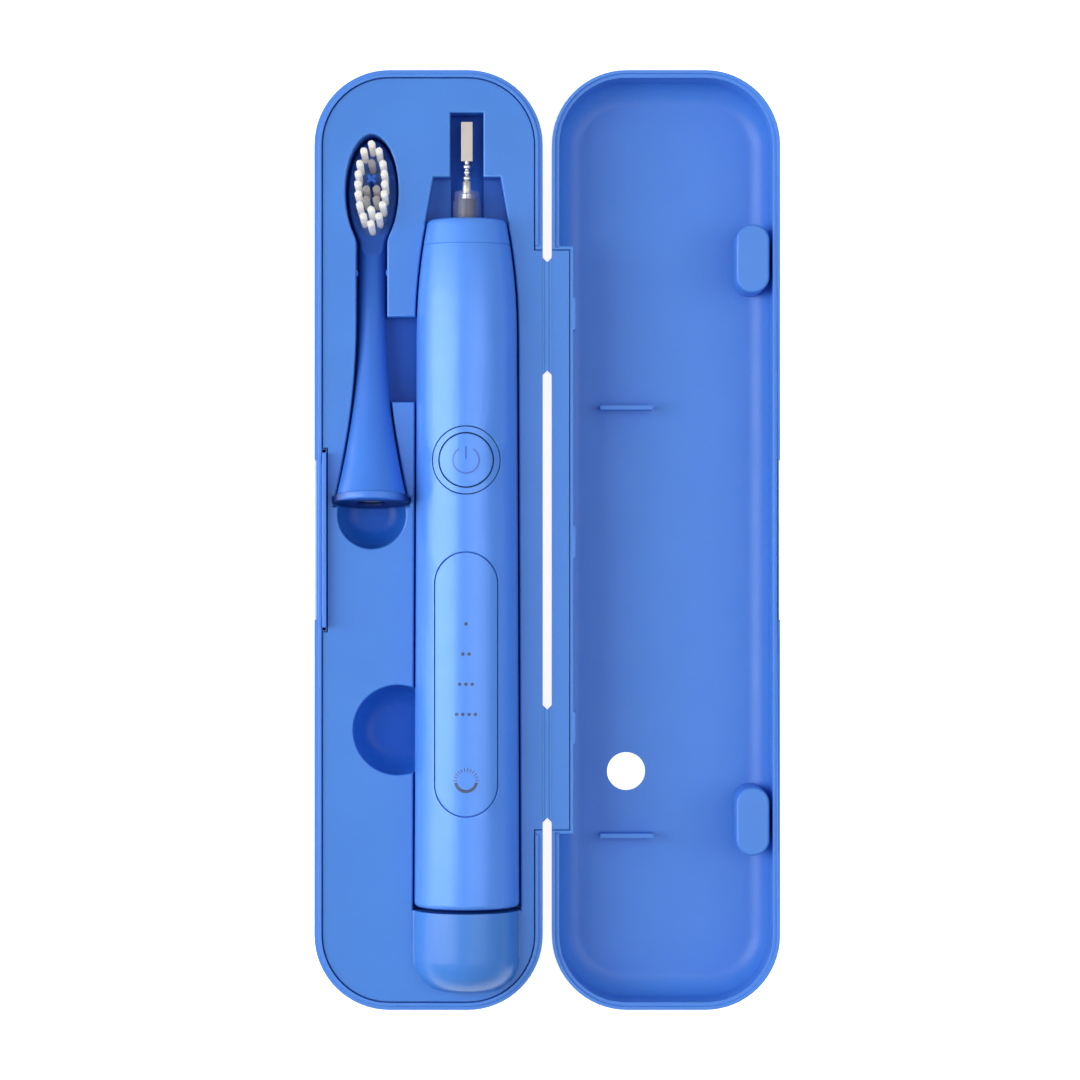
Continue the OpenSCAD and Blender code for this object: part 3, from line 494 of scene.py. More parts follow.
@dataclass(frozen=True)
class SoftRubber(Finish):
    """Moulded elastomer, clear or opaque, or thin enough to see through."""

    clear: float = 0.0
    roughness: float = 0.42
    thin: float = 1.0

    def mix(self, recipe: Recipe, tone: Colour) -> None:
        """Sets up the shader."""
        recipe.tint(recipe.noise(1.6, 3), tone, 0.94, 1.04)
        recipe.roughen(recipe.noise(0.9), self.roughness * 0.9, self.roughness * 1.1)
        recipe.set(Transmission_Weight=self.clear, IOR=1.42, Alpha=self.thin)
        recipe.relief(recipe.noise(0.2), 0.008)


@dataclass(frozen=True)
class Nylon(Finish):
    """Bristle nylon, streaked along its strands.

    Its small glow stands for the light that the strands pass on to one another.
    """

    glow: float = 0.13

    def mix(self, recipe: Recipe, tone: Colour) -> None:
        """Sets up the shader."""
        recipe.tint(recipe.noise(0.35, 2, (1, 1, 0.12)), tone, 0.9, 1.05)
        recipe.roughen(recipe.noise(0.6), 0.26, 0.36)
        recipe.set(Subsurface_Weight=0.15, Subsurface_Scale=0.6 * MM, IOR=1.53)
        recipe.set(Emission_Color=(*tone, 1), Emission_Strength=self.glow)


@dataclass(frozen=True)
class Ink(Finish):
    """Pad-printed ink with a fine speckle."""

    def mix(self, recipe: Recipe, tone: Colour) -> None:
        """Sets up the shader."""
        recipe.tint(recipe.noise(0.12, 3), tone, 0.88, 1.1)
        recipe.roughen(recipe.noise(0.2), 0.3, 0.42)


@dataclass(frozen=True)
class Winding(Finish):
    """Enamelled wire laid turn by turn."""

    pitch: float = 0.3

    def mix(self, recipe: Recipe, tone: Colour) -> None:
        """Sets up the shader."""
        waves = recipe.add("ShaderNodeTexWave", bands_direction="Y")
        waves.inputs["Scale"].default_value = 0.314 / (self.pitch * MM)
        waves.inputs["Distortion"].default_value = 0.3
        recipe.wire(recipe.place, waves.inputs["Vector"])
        colour = recipe.blend(waves.outputs["Fac"], shade(tone, 0.45), tone)
        recipe.wire(colour, recipe.shader.inputs["Base Color"])
        recipe.set(Metallic=0.7, Roughness=0.3)
        recipe.relief(waves.outputs["Fac"], 0.05)


@dataclass(frozen=True)
class Laminate(Finish):
    """Circuit board: solder mask over copper lines."""

    def mix(self, recipe: Recipe, tone: Colour) -> None:
        """Sets up the shader."""
        cells = recipe.add("ShaderNodeTexBrick")
        cells.inputs["Scale"].default_value = 260
        cells.inputs["Mortar Size"].default_value = 0.03
        for key, factor in (("Color1", 1.0), ("Color2", 0.9), ("Mortar", 1.6)):
            cells.inputs[key].default_value = (*shade(tone, factor), 1)
        recipe.wire(recipe.place, cells.inputs["Vector"])
        recipe.wire(cells.outputs["Color"], recipe.shader.inputs["Base Color"])
        recipe.roughen(recipe.noise(1.0), 0.28, 0.36)
        recipe.relief(cells.outputs["Fac"], 0.02)


CASE_BLUE = MouldedPlastic("case_blue", (72, 134, 222), Skin.MATT, mottle=0.015)
# Painted shade: the tray turns darker and mirrors less where its pockets lie low.
TRAY_BLUE = MouldedPlastic("tray_blue", (66, 130, 216), painted_shade=(18, 90, 194), painted_shade_span=(9, 18.6))
HANDLE_BLUE = MouldedPlastic("handle_blue", (86, 148, 246), mottle=0.015, pearl=0.1)
PANEL_BLUE = replace(HANDLE_BLUE, name="panel_blue", grain_size=0.2)
# Painted shade: the head turns darker and mirrors less down in its pocket, towards the paddle.
HEAD_BLUE = MouldedPlastic(
    "head_blue", (62, 124, 222), grain_size=0.22, painted_shade=(48, 96, 182), painted_shade_span=(11, 27)
)
# Painted shade: the lower part of the ring's end face turns dark navy and mirrors less.
RING_BLUE = MouldedPlastic("ring_blue", (66, 128, 226), painted_shade=(16, 40, 104), painted_shade_span=(24, 29))
PLATE_BLUE = MouldedPlastic("plate_blue", (60, 106, 184), grain_size=0.22)
SOCKET_GREY = MouldedPlastic("socket_grey", (120, 132, 160), Skin.DULL)
CHASSIS_WHITE = MouldedPlastic("chassis_white", (226, 226, 222), Skin.DULL)
SWITCH_BLACK = MouldedPlastic("switch_black", (34, 34, 38), Skin.DULL)
CELL_SLEEVE = MouldedPlastic("cell_sleeve", (84, 92, 104), Skin.SMOOTH)
GUIDE_CLEAR = SoftRubber("guide_clear", (236, 242, 246), clear=0.8, roughness=0.2)
SHAFT_STEEL = TurnedMetal("shaft_steel", (236, 234, 230), 0.34)
BLADE_STEEL = TurnedMetal("blade_steel", (208, 201, 194), 0.55, (1, 0.2, 1))
CAN_STEEL = TurnedMetal("can_steel", (190, 192, 196), 0.3)
FERRITE = TurnedMetal("ferrite", (70, 70, 76), 0.6)
BUSH_BRONZE = TurnedMetal("bush_bronze", (190, 142, 84), 0.35)
SEAL_BLACK = SoftRubber("seal_black", (30, 30, 34))
BOOT_SMOKE = SoftRubber("boot_smoke", (150, 160, 196), thin=0.2, roughness=0.2)
BOOT_CORE = SoftRubber("boot_core", (92, 78, 66), roughness=0.4)
CROSS_BLUE = SoftRubber("cross_blue", (36, 92, 190), roughness=0.4)
BRISTLE_WHITE = Nylon("bristle_white", (246, 245, 242))
BRISTLE_GREY = Nylon("bristle_grey", (184, 184, 186), 0.1)
MARK_GREY = Ink("mark_grey", (62, 78, 120))
SIGN_BLUE = Ink("sign_blue", (56, 108, 206))
MARK_PALE = Ink("mark_pale", (78, 98, 150))
COPPER_WIRE = Winding("copper_wire", (196, 120, 66))
BOARD_GREEN = Laminate("board_green", (38, 116, 72))

NODES_BY_FINISH: dict[Finish, str] = {
    CASE_BLUE: "base_shell lid_shell hinge_leaf hinge_web_upper hinge_web_lower",
    TRAY_BLUE: "inner_tray",
    HANDLE_BLUE: "handle_housing handle_collar end_cap button_ring power_button",
    PANEL_BLUE: "indicator_panel",
    CHASSIS_WHITE: "switch_plunger chassis",
    GUIDE_CLEAR: "light_guide lights",
    BOARD_GREEN: "circuit_board",
    SWITCH_BLACK: "button_switch",
    CAN_STEEL: "board_screws motor_can",
    CELL_SLEEVE: "battery_cell",
    COPPER_WIRE: "charging_coil stator_coil",
    FERRITE: "coil_core rotor_magnet",
    BUSH_BRONZE: "shaft_bushes",
    SHAFT_STEEL: "drive_shaft",
    BOOT_CORE: "shaft_boot",
    SEAL_BLACK: "cap_seal",
    HEAD_BLUE: "head_body head_ring",
    PLATE_BLUE: "head_plate",
    SOCKET_GREY: "head_socket",
    BRISTLE_WHITE: "white_tufts",
    BRISTLE_GREY: "grey_tufts",
    CROSS_BLUE: "cross_tuft",
}


class Paintshop:
    """Makes each finish once and puts it on pieces."""

    def __init__(self) -> None:
        """Starts with no finish made."""
        self.made: dict[str, Material] = {}

    def material(self, finish: Finish) -> Material:
        """The material of a finish, made when it is first asked for."""
        if finish.name not in self.made:
            self.made[finish.name] = finish.build()
        return self.made[finish.name]

    def dress(self, piece: Piece, finish: Finish) -> None:
        """Gives a piece one finish all over."""
        piece.data.materials.clear()
        piece.data.materials.append(self.material(finish))

    def dress_nodes(self) -> None:
        """Gives every CAD node its finish."""
        for finish, names in NODES_BY_FINISH.items():
            for name in names.split():
                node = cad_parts[name]
                if not node.material_slots:
                    node.data.materials.append(self.material(finish))
                for slot in node.material_slots:
                    slot.material = self.material(finish)

    def hand_over(self, piece: Piece, body: str, slot: str, finish: Finish, *nodes: str) -> None:
        """Dresses a finished piece and sets it on its body.

        Args:
            piece: The piece.
            body: The CAD body that it rides on.
            slot: The record's material slot; not used.
            finish: Its finish.
            nodes: CAD nodes that it replaces.
        """
        self.dress(piece, finish)
        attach(piece, body)
        if nodes:
            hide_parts(*nodes)
        log.info("%s rides on %s, %d faces", piece.name, body, len(piece.data.polygons))


# ---- the case


@dataclass
class CaseShells:
    """Both half shells, the tray and the hinge."""

    rim: float = 19.5
    half_middle: float = 28.8
    half_width: float = 55.4
    half_length: float = 228.0
    corner: float = 18.2
    base_span: Span = (-57.0, 1.0)
    lid_span: Span = (0.0, 57.0)
    case_end: float = 115.0
    ledge_span: Span = (3.1, 54.9)
    ledge_end: float = 112.0
    post_span: Span = (43.0, 54.2)
    post_end: float = 80.0
    foot_span: Span = (53.3, 53.95)
    foot_height: float = 2.2
    foot_ends: Span = (60.0, 77.0)
    mouth_inset: float = 3.2
    lip_soft: float = 0.168
    lid_soft: float = 0.224
    ledge_soft: float = 0.28
    mouth_soft: float = 0.45
    seam_soft: float = 0.1
    leaf_soft: float = 0.15
    post_soft: float = 0.7
    web_half: float = 1.1
    web_middle: float = 54.25
    web_length: float = 28.5
    web_thick: float = 0.5
    web_columns: int = 16
    web_rows: int = 14
    notch: float = 1.1
    notch_from: float = 0.6
    fold_half: float = 0.2
    fold_steep: float = 0.9

    def layer(self, span: Span, end: float, low: float, high: float) -> EdgeTest:
        """A test for crisp edges in a layer of the case.

        Args:
            span: Where the layer starts and ends across the case.
            end: How far it reaches to both ends of the case.
            low: Its underside, from the rim.
            high: Its top, from the rim.

        Returns:
            The test.
        """
        corners = (span[0], -end, self.rim + low), (span[1], end, self.rim + high)
        return lambda edge: crisp(edge) and between(edge, *corners)

    def inset_of(self, place: Vector) -> float:
        """How far inside the base half's outline a point lies."""
        across = abs(place.x / MM + self.half_middle) - (self.half_width / 2 - self.corner)
        along = abs(place.y / MM) - (self.half_length / 2 - self.corner)
        outside = math.hypot(max(across, 0), max(along, 0)) + min(max(across, along), 0)
        return self.corner - outside

    def base(self) -> Piece:
        """The lower half shell with its lip, pad and snap tongue."""
        lip = self.layer(self.base_span, self.case_end, -0.1, 3)
        return eased("base_shell", "base_skin", (self.lip_soft, lip, 2))

    def tray(self) -> Piece:
        """The moulded tray, with the mouths of its pockets and its outer seam rounded."""
        top = self.layer(self.base_span, self.case_end, -0.01, 0.01)

        def insets(edge: Edge) -> list[float]:
            return [self.inset_of(vertex.co) for vertex in edge.verts]

        return eased(
            "inner_tray", "tray_skin",
            (self.mouth_soft, lambda e: top(e) and min(insets(e)) > self.mouth_inset, 3),
            (self.seam_soft, lambda e: top(e) and max(insets(e)) < self.mouth_inset, 2),
        )

    def lid(self) -> Piece:
        """The upper half shell with its posts, ribs and rail."""
        piece = copy_of("lid_shell", "lid_skin")
        self.flush(piece)
        tops = self.layer(self.post_span, self.post_end, -0.1, 0.1)
        posts = self.layer(self.post_span, self.post_end, -self.rim, 10.5)
        rims = self.layer(self.lid_span, self.case_end, -0.1, 0.1)
        soften(piece, self.post_soft, tops)
        soften(piece, self.lid_soft, lambda e: rims(e) and not posts(e), 2)
        soften(piece, self.ledge_soft, self.layer(self.ledge_span, self.ledge_end, -0.8, -0.7), 2)
        smooth(piece)
        return piece

    def flush(self, piece: Piece) -> None:
        """Closes the lid's outside where the foot of a post comes a hair through its rounding."""
        (near, far), (inner, outer) = self.foot_span, self.foot_ends

        def stray(face: Face) -> bool:
            return all(
                near * MM < v.co.x < far * MM and v.co.z < self.foot_height * MM
                and inner * MM < abs(v.co.y) < outer * MM
                for v in face.verts
            )

        with editing(piece):
            if pick(piece, Part.FACES, stray):
                bpy.ops.mesh.delete(type="FACE")
                pick(piece, Part.EDGES, lambda e: e.is_boundary)
                bpy.ops.mesh.fill_holes(sides=0)

    def web(self, end: Half) -> Piece:
        """One folding web, fine enough across to fold, with notched ends and two fold lines."""
        middle = end.value * self.web_middle
        let_go()
        bpy.ops.mesh.primitive_grid_add(
            x_subdivisions=self.web_columns, y_subdivisions=self.web_rows, size=1,
            location=(0, middle * MM, self.rim * MM),
        )
        size = (2 * self.web_half, self.web_length, 1)
        piece = sized(f"hinge_web_{end.name.lower()}_strip", size)
        for vertex in piece.data.vertices:
            x, y = vertex.co.x / MM, vertex.co.y / MM - middle
            pull = (1 - abs(x) / self.web_half) * self.notch
            share = max(0.0, abs(y) / (self.web_length / 2) - self.notch_from)
            vertex.co.y -= math.copysign(pull * share / (1 - self.notch_from), y) * MM
            fold = min(abs(abs(x) - self.web_half / 2), self.fold_half)
            vertex.co.z -= (self.fold_half - fold) * self.fold_steep * MM
        down = (0, 0, -self.web_thick * MM)
        with editing(piece):
            pick_all()
            bpy.ops.mesh.extrude_region_move(TRANSFORM_OT_translate={"value": down})
            pick_all()
            bpy.ops.mesh.normals_make_consistent(inside=False)
        for vertex in piece.data.vertices:
            if vertex.co.z < (self.rim - 0.45) * MM:
                vertex.co.z = (self.rim - self.web_thick) * MM
        smooth(piece, 40)
        return piece

    def build(self, shop: Paintshop) -> None:
        """Makes the case and sets it on its bodies."""
        plastic = "case_plastic"
        shop.hand_over(self.base(), "base", plastic, CASE_BLUE, "base_shell")
        shop.hand_over(self.tray(), "base", plastic, TRAY_BLUE, "inner_tray")
        shop.hand_over(self.lid(), "lid", plastic, CASE_BLUE, "lid_shell")
        leaf = eased("hinge_leaf", "leaf_skin", (self.leaf_soft, crisp, 2))
        shop.hand_over(leaf, "lid", plastic, CASE_BLUE, "hinge_leaf")
        for end in Half:
            strip = self.web(end)
            shop.dress(strip, CASE_BLUE)
            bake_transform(strip)
            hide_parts(f"hinge_web_{end.name.lower()}")
            log.info("%s folds between base and lid", strip.name)


# ---- the handle


@dataclass(frozen=True)
class Inlay:
    """A piece set in an opening, its sides drawn in a hair so that the seam round it shows.

    A share of its size stays across and along; its sides are steep and lie outside a radius.
    """

    node: str
    share: Span
    steep: float
    radius: float = 0.0
    soft: float = 0.0
    depth: float = 0.0
    segments: int = 2

    def build(self) -> Piece:
        """The copy of its node, drawn in, and rounded down to a depth under its top."""
        piece = copy_of(self.node, f"{self.node}_skin")
        middle = (Vector(piece.bound_box[0]) + Vector(piece.bound_box[6])) / 2
        top = max(v.co.z for v in piece.data.vertices) - self.depth * MM

        def side(face: Face) -> bool:
            away = min(math.hypot(v.co.x - middle.x, v.co.y - middle.y) for v in face.verts)
            return abs(face.normal.z) < self.steep and away > self.radius * MM

        def upper(edge: Edge) -> bool:
            return crisp(edge) and min(v.co.z for v in edge.verts) > top

        with editing(piece):
            pick(piece, Part.FACES, side)
            bpy.ops.transform.resize(value=(*self.share, 1), center_override=middle)
        if self.soft:
            soften(piece, self.soft, upper, self.segments)
        smooth(piece)
        return piece


RING = Inlay("button_ring", (0.98, 0.98), steep=0.5, radius=8.1)
BUTTON = Inlay("power_button", (0.978, 0.978), 0.5, 6.4, soft=0.2, depth=2.4, segments=3)
PANEL = Inlay("indicator_panel", (0.984, 0.996), steep=0.3, soft=0.14, depth=3.2)


@dataclass
class BrushHandle:
    """The brush handle with its button, panel, marks, drive shaft and boot."""

    datum: Datum = Datum((-19.5, -88.9, 18.0))
    length: float = 166.6
    wall_radius: float = 11.3
    collar_radius: float = 10.0
    button_at: float = 108.1
    symbol_radius: float = 3.15
    stroke: float = 0.4
    mark_level: float = 16.0
    mode_from: float = 47.1
    mode_pitch: float = 7.23
    dot_pitch: float = 1.5
    dot_radius: float = 0.42
    charge_at: float = 31.15
    dial_radius: float = 2.9
    dial_band: float = 0.75
    boot_foot: float = 3.47
    boot_tip: float = 3.05
    boot_step: float = 4.6
    boot_out: float = 7.0
    shaft_radius: float = 1.5
    neck: float = 0.46
    beads: tuple[Point, ...] = ((3.1, 0.98, 0.68), (4.5, 0.78, 0.58), (5.9, 0.98, 0.68))
    blade: Point = (2.8, 9.6, 1.3)
    shaft_out: float = 23.8

    def off_axis(self, place: Vector) -> float:
        """How far a point lies from the handle's axis, in metres."""
        x, _, z = self.datum.origin
        return math.hypot(place.x - x * MM, place.z - z * MM)

    def housing(self) -> Piece:
        """The housing, with the edges of its outside openings rounded."""
        foot = (self.datum.origin[1] + 3) * MM

        def outside(edge: Edge) -> bool:
            return crisp(edge) and all(
                self.off_axis(v.co) > self.wall_radius * MM and v.co.y > foot for v in edge.verts
            )

        return eased("handle_housing", "housing_skin", (0.18, outside, 2))

    def collar(self) -> Piece:
        """The collar, its foot drawn in so that its seam with the housing shows."""
        piece = copy_of("handle_collar", "handle_collar_skin")
        wall = self.collar_radius * MM
        low = min(v.co.y for v in piece.data.vertices if self.off_axis(v.co) > wall)

        def foot(edge: Edge) -> bool:
            return crisp(edge) and all(
                v.co.y < low + 0.2 * MM and self.off_axis(v.co) > wall for v in edge.verts
            )

        def upper(edge: Edge) -> bool:
            return crisp(edge, 40) and min(v.co.y for v in edge.verts) > low + 1.0 * MM

        soften(piece, 0.24, foot, 1)
        soften(piece, 0.16, upper, 2)
        smooth(piece)
        return piece

    def lay_on(
        self, mark: Piece, target: Piece, rise: float = 0.004, thick: float = 0.012
    ) -> Piece:
        """Lays a flat mark on a target from above, a rise off it, and makes it thick."""
        apply(
            mark, "SHRINKWRAP", target=target, wrap_method="PROJECT", use_project_z=True,
            use_negative_direction=True, use_positive_direction=False, offset=rise * MM,
        )
        apply(mark, "SOLIDIFY", thickness=thick * MM, offset=1)
        return mark

    def face_up(self, piece: Piece) -> Piece:
        """Turns the faces of a flat mark upwards."""
        if piece.data.polygons[0].normal.z < 0:
            with editing(piece):
                pick_all()
                bpy.ops.mesh.flip_normals()
        return piece

    def arc_mark(self, name: str, at: float, radii: Span, turns: Span, steps: int) -> Piece:
        """A flat arc above the handle's top side, spun from a short line.

        Args:
            name: The mark's name.
            at: Height of its middle above the handle's foot.
            radii: Its inner and outer radius.
            turns: Its two ends, in degrees from the brush tip, clockwise.
            steps: Steps along it.

        Returns:
            The mark.
        """
        middle = self.datum.at(0, at, self.mark_level)
        (inner, outer), (start, end) = radii, turns
        turn = Matrix.Rotation(math.radians(-start), 4, "Z")
        points = [
            middle + turn @ Vector((0, r * MM, 0)) for r in (inner, (inner + outer) / 2, outer)
        ]
        sweep = math.radians(end - start)
        return self.face_up(spun(name, points, middle, Vector((0, 0, 1)), steps, sweep))

    def power_symbol(self, button: Piece) -> Piece:
        """The usual on and off sign: an open ring with a bar that has rounded corners."""
        half = self.stroke / 2
        radii = (self.symbol_radius - half, self.symbol_radius + half)
        ring = self.arc_mark("power_sign", self.button_at, radii, (32, 328), 56)
        let_go()
        bpy.ops.mesh.primitive_grid_add(
            x_subdivisions=3, y_subdivisions=8, size=1,
            location=self.datum.at(0, self.button_at + 1.75, self.mark_level),
        )
        bar = sized("power_bar", (self.stroke, 3.1, 1))
        with editing(bar):
            pick(bar, Part.VERTS, lambda v: len(v.link_edges) == 2)
            bpy.ops.mesh.bevel(offset=self.stroke * 0.3 * MM, segments=2, affect="VERTICES")
        sign = join([ring, self.face_up(bar)], "power_sign")
        return self.lay_on(sign, button, 0.0, 0.025)

    def mode_marks(self, panel: Piece) -> Piece:
        """Rows of one to four dots, one row for each mode."""
        dots = []
        for row in range(4):
            height = self.mode_from + (3 - row) * self.mode_pitch
            for i in range(row + 1):
                place = self.datum.at((i - row / 2) * self.dot_pitch, height, self.mark_level)
                let_go()
                bpy.ops.mesh.primitive_circle_add(
                    vertices=20, radius=self.dot_radius * MM, fill_type="TRIFAN", location=place
                )
                settle(bpy.context.object)
                dots.append(self.face_up(bpy.context.object))
        return self.lay_on(join(dots, "mode_dots"), panel)

    def charge_dial(self, panel: Piece) -> tuple[Piece, Piece]:
        """A small dial for the charge: the thick arc below and the ticks above."""
        inner, outer = self.dial_radius - self.dial_band, self.dial_radius
        arc = self.arc_mark("charge_arc", self.charge_at, (inner, outer), (100, 260), 40)
        ticks = [
            self.arc_mark(
                f"tick_{a}", self.charge_at, (inner, outer + 0.15), (a - 2.6, a + 2.6), 2
            )
            for a in range(-88, 89, 16)
        ]
        return self.lay_on(arc, panel), self.lay_on(join(ticks, "charge_ticks"), panel)

    def spindle(self) -> Piece:
        """The turned shaft with its row of beads under the blade."""
        foot = self.length - 40.0
        start = self.length + self.boot_out
        full, neck = self.shaft_radius, self.neck
        profile = [(0, foot), (1.35, foot), (full, foot + 0.2)]
        profile += [(radius, start + rise) for radius, rise in (
            (full, -1.9), (full, -1.8), (full, -0.75), (1.35, -0.6), (1.15, -0.5), (1.15, 2.2),
            (1.05, 2.38), (0.5, 2.4),
        )]
        for height, radius, half in self.beads:
            for angle in map(math.radians, range(10, 180, 16)):
                reach = neck + (radius - neck) * math.sin(angle)
                profile.append((reach, start + height - half * math.cos(angle)))
        profile += [(neck, start + 6.6), (neck, start + 7.5), (0, start + 7.5)]
        piece = turned("drive_spindle", self.datum, profile, 48)
        smooth(piece, 40)
        return piece

    def flat_blade(self) -> Piece:
        """The flat end of the shaft, rounded at its edges and drawn in at its foot."""
        end = self.length + self.shaft_out
        length = self.blade[1]
        let_go()
        bpy.ops.mesh.primitive_cube_add(size=1, location=self.datum.at(0, end - length / 2, 0))
        piece = sized("drive_blade", self.blade)
        foot = self.datum.at(0, end - length, 0)
        with editing(piece):
            pick(piece, Part.FACES, lambda f: f.normal.y < -0.9)
            bpy.ops.mesh.inset(thickness=0.4 * MM, depth=0)
            bpy.ops.transform.resize(value=(0.5, 1, 1), center_override=foot)
            bpy.ops.mesh.extrude_region_move(TRANSFORM_OT_translate={"value": (0, -0.5 * MM, 0)})
        soften(piece, 0.1, lambda e: crisp(e, 50))
        smooth(piece)
        return piece

    def boot(self) -> tuple[Piece, Piece]:
        """The clear rubber boot, and the dark sleeve that shows through it."""
        top, foot, tip = self.length, self.boot_foot, self.boot_tip
        out, step = top + self.boot_out, top + self.boot_step
        skin = turned("boot_sleeve", self.datum, [
            (2.1, top - 3.4), (foot + 1.3, top - 3.4), (foot + 1.4, top - 3.3),
            (foot + 1.4, top - 2.2), (foot + 1.3, top - 2.1), (foot, top - 2.1),
            (foot, top + 0.2), (foot - 0.08, top + 0.5), (foot - 0.05, step - 0.25),
            (foot - 0.2, step), (tip + 0.02, step + 0.08), (tip, step + 0.3),
            (tip - 0.05, out - 0.3), (tip - 0.35, out), (1.72, out), (1.62, out - 0.3),
            (2.1, out - 1.2), (2.1, top - 3.4),
        ])
        core = turned("boot_core_sleeve", self.datum, [
            (1.58, top - 3.2), (2.05, top - 3.2), (2.05, top + 4.9), (1.9, top + 5.1),
            (1.58, top + 5.1), (1.58, top - 3.2),
        ], 64)
        for piece in (skin, core):
            smooth(piece, 40)
        return skin, core

    def build(self, shop: Paintshop) -> None:
        """Makes the handle and sets it on its bodies."""
        plastic, clear, steel = "handle_plastic", "panel_plastic", "polished_steel"
        shop.hand_over(self.housing(), "handle", plastic, HANDLE_BLUE, "handle_housing")
        shop.hand_over(self.collar(), "handle", plastic, HANDLE_BLUE, "handle_collar")
        shop.hand_over(RING.build(), "handle", plastic, HANDLE_BLUE, RING.node)
        button = BUTTON.build()
        shop.hand_over(button, "button", plastic, HANDLE_BLUE, BUTTON.node)
        panel = PANEL.build()
        shop.hand_over(panel, "handle", clear, PANEL_BLUE, PANEL.node)
        shop.hand_over(self.power_symbol(button), "button", plastic, SIGN_BLUE)
        shop.hand_over(self.mode_marks(panel), "handle", clear, MARK_GREY)
        arc, ticks = self.charge_dial(panel)
        shop.hand_over(arc, "handle", clear, MARK_GREY)
        shop.hand_over(ticks, "handle", clear, MARK_PALE)
        shop.hand_over(self.spindle(), "shaft", steel, SHAFT_STEEL, "drive_shaft")
        shop.hand_over(self.flat_blade(), "shaft", steel, BLADE_STEEL)
        skin, core = self.boot()
        shop.hand_over(skin, "handle", "boot_rubber", BOOT_SMOKE, "shaft_boot")
        shop.hand_over(core, "handle", "boot_rubber", BOOT_CORE)


# ---- the brush head


@dataclass
class BrushHead:
    """The brush head with its tufts."""

    datum: Datum = Datum((-42.6, 8.876, 21.0), tilt=8.0)
    paddle_middle: float = 76.5
    paddle_reach: float = 13.5
    plate_margin: float = 1.6
    face: float = 1.9
    bristle_length: float = 10.0
    grey_drop: float = 0.8
    oval_half_width: float = 3.25
    oval_half_length: float = 9.85
    white_rows: tuple[float, ...] = (8.1, 5.0, 2.5, 0, -2.5, -5.2, -8.0)
    greys: tuple[Span, ...] = ((0, 5.4), (-1.2, -1.1), (1.2, -1.1), (-1.2, -3.7), (1.2, -3.7))
    tuft_radius: float = 0.76
    tuft_foot: float = 0.85
    tuft_dome: float = 0.34
    tuft_splay: float = 0.012
    strand_radius: float = 0.1
    strands: int = 58
    cross_at: float = 1.7
    cross_bar: Span = (2.7, 0.78)
    cross_drop: float = 1.1
    cross_foot: float = 0.9

    @property
    def plate(self) -> Matrix:
        """From millimetres on the bristle face to metres in the frame."""
        return self.datum.matrix @ Matrix.Translation((0, self.paddle_middle, self.face))

    def whites(self) -> list[Span]:
        """Places of the white tufts on the bristle face, from its middle."""
        places = [(0.0, self.oval_half_length), (0.0, -self.oval_half_length), (0.0, -6.4)]
        for y in self.white_rows:
            x = self.oval_half_width * math.sqrt(1 - (y / self.oval_half_length) ** 2)
            places += [(-x, y), (x, y)]
        return places

    def strand(self) -> Piece:
        """One bristle with a rounded tip, standing at the origin, one unit a millimetre."""
        let_go()
        bpy.ops.mesh.primitive_cylinder_add(
            vertices=5, radius=self.strand_radius, depth=1, end_fill_type="NGON",
            location=(0, 0, 0.5),
        )
        piece = bpy.context.object
        settle(piece)
        with editing(piece):
            pick(piece, Part.FACES, lambda f: f.normal.z > 0.9)
            bpy.ops.mesh.extrude_region_move(TRANSFORM_OT_translate={"value": (0, 0, 0.01)})
            bpy.ops.transform.resize(value=(0.55, 0.55, 1), center_override=(0, 0, 1.01))
        return piece

    def tuft(self, name: str, length: float, turn: float) -> Piece:
        """A tuft with a domed, slightly uneven top, at the origin, turned by some degrees."""
        model = self.strand()
        sheet = bmesh.new()
        for i in range(self.strands):
            r = math.sqrt((i + 0.5) / self.strands)
            a = math.radians(GOLDEN_ANGLE * i + turn)
            reach = length - self.tuft_dome * r * r + 0.05 * math.sin(3.1 * i + turn)
            x, y = r * math.cos(a) * self.tuft_radius, r * math.sin(a) * self.tuft_radius
            place = Matrix.Translation((x, y, -self.tuft_foot))
            lean = Matrix.Shear("XY", 4, (self.tuft_splay * x, self.tuft_splay * y))
            mesh = model.data.copy()
            mesh.transform(place @ lean @ Matrix.Diagonal((1, 1, reach + self.tuft_foot, 1)))
            sheet.from_mesh(mesh)
            bpy.data.meshes.remove(mesh)
        data = bpy.data.meshes.new(name)
        sheet.to_mesh(data)
        sheet.free()
        bpy.data.objects.remove(model)
        piece = bpy.data.objects.new(name, data)
        bpy.context.scene.collection.objects.link(piece)
        return piece

    def tufts(self, name: str, places: Sequence[Span], length: float) -> Piece:
        """All tufts of one kind, standing in the bristle face."""
        made = []
        for i, (x, y) in enumerate(places):
            piece = self.tuft(f"{name}_{i}", length, 41.0 * i)
            piece.data.transform(self.plate @ Matrix.Translation((x, y, 0)))
            made.append(piece)
        piece = join(made, name)
        smooth(piece, 50, weigh=False)
        return piece

    def cross(self) -> Piece:
        """The soft cross between the tufts: two crossed bars with rounded tips."""
        height = self.bristle_length - self.cross_drop
        bars = []
        for turn in (45, 135):
            let_go()
            bpy.ops.mesh.primitive_cube_add(size=1)
            bar = bpy.context.object
            bar.scale = (*self.cross_bar, height)
            bar.location = (0, 0, height / 2 - self.cross_foot)
            settle(bar)
            with editing(bar):
                pick(bar, Part.EDGES, lambda e: abs(e.verts[0].co.z - e.verts[1].co.z) > 1)
                bpy.ops.mesh.bevel(offset=0.36, segments=4, affect="EDGES")
                pick(bar, Part.EDGES, lambda e: crisp(e, 60) and min(v.co.z for v in e.verts) > 1)
                bpy.ops.mesh.bevel(offset=0.2, segments=3, affect="EDGES")
            bar.data.transform(Matrix.Rotation(math.radians(turn), 4, "Z"))
            bars.append(bar)
        piece = join(bars, "soft_cross")
        piece.data.transform(self.plate @ Matrix.Translation((0, self.cross_at, 0)))
        smooth(piece, 45)
        return piece

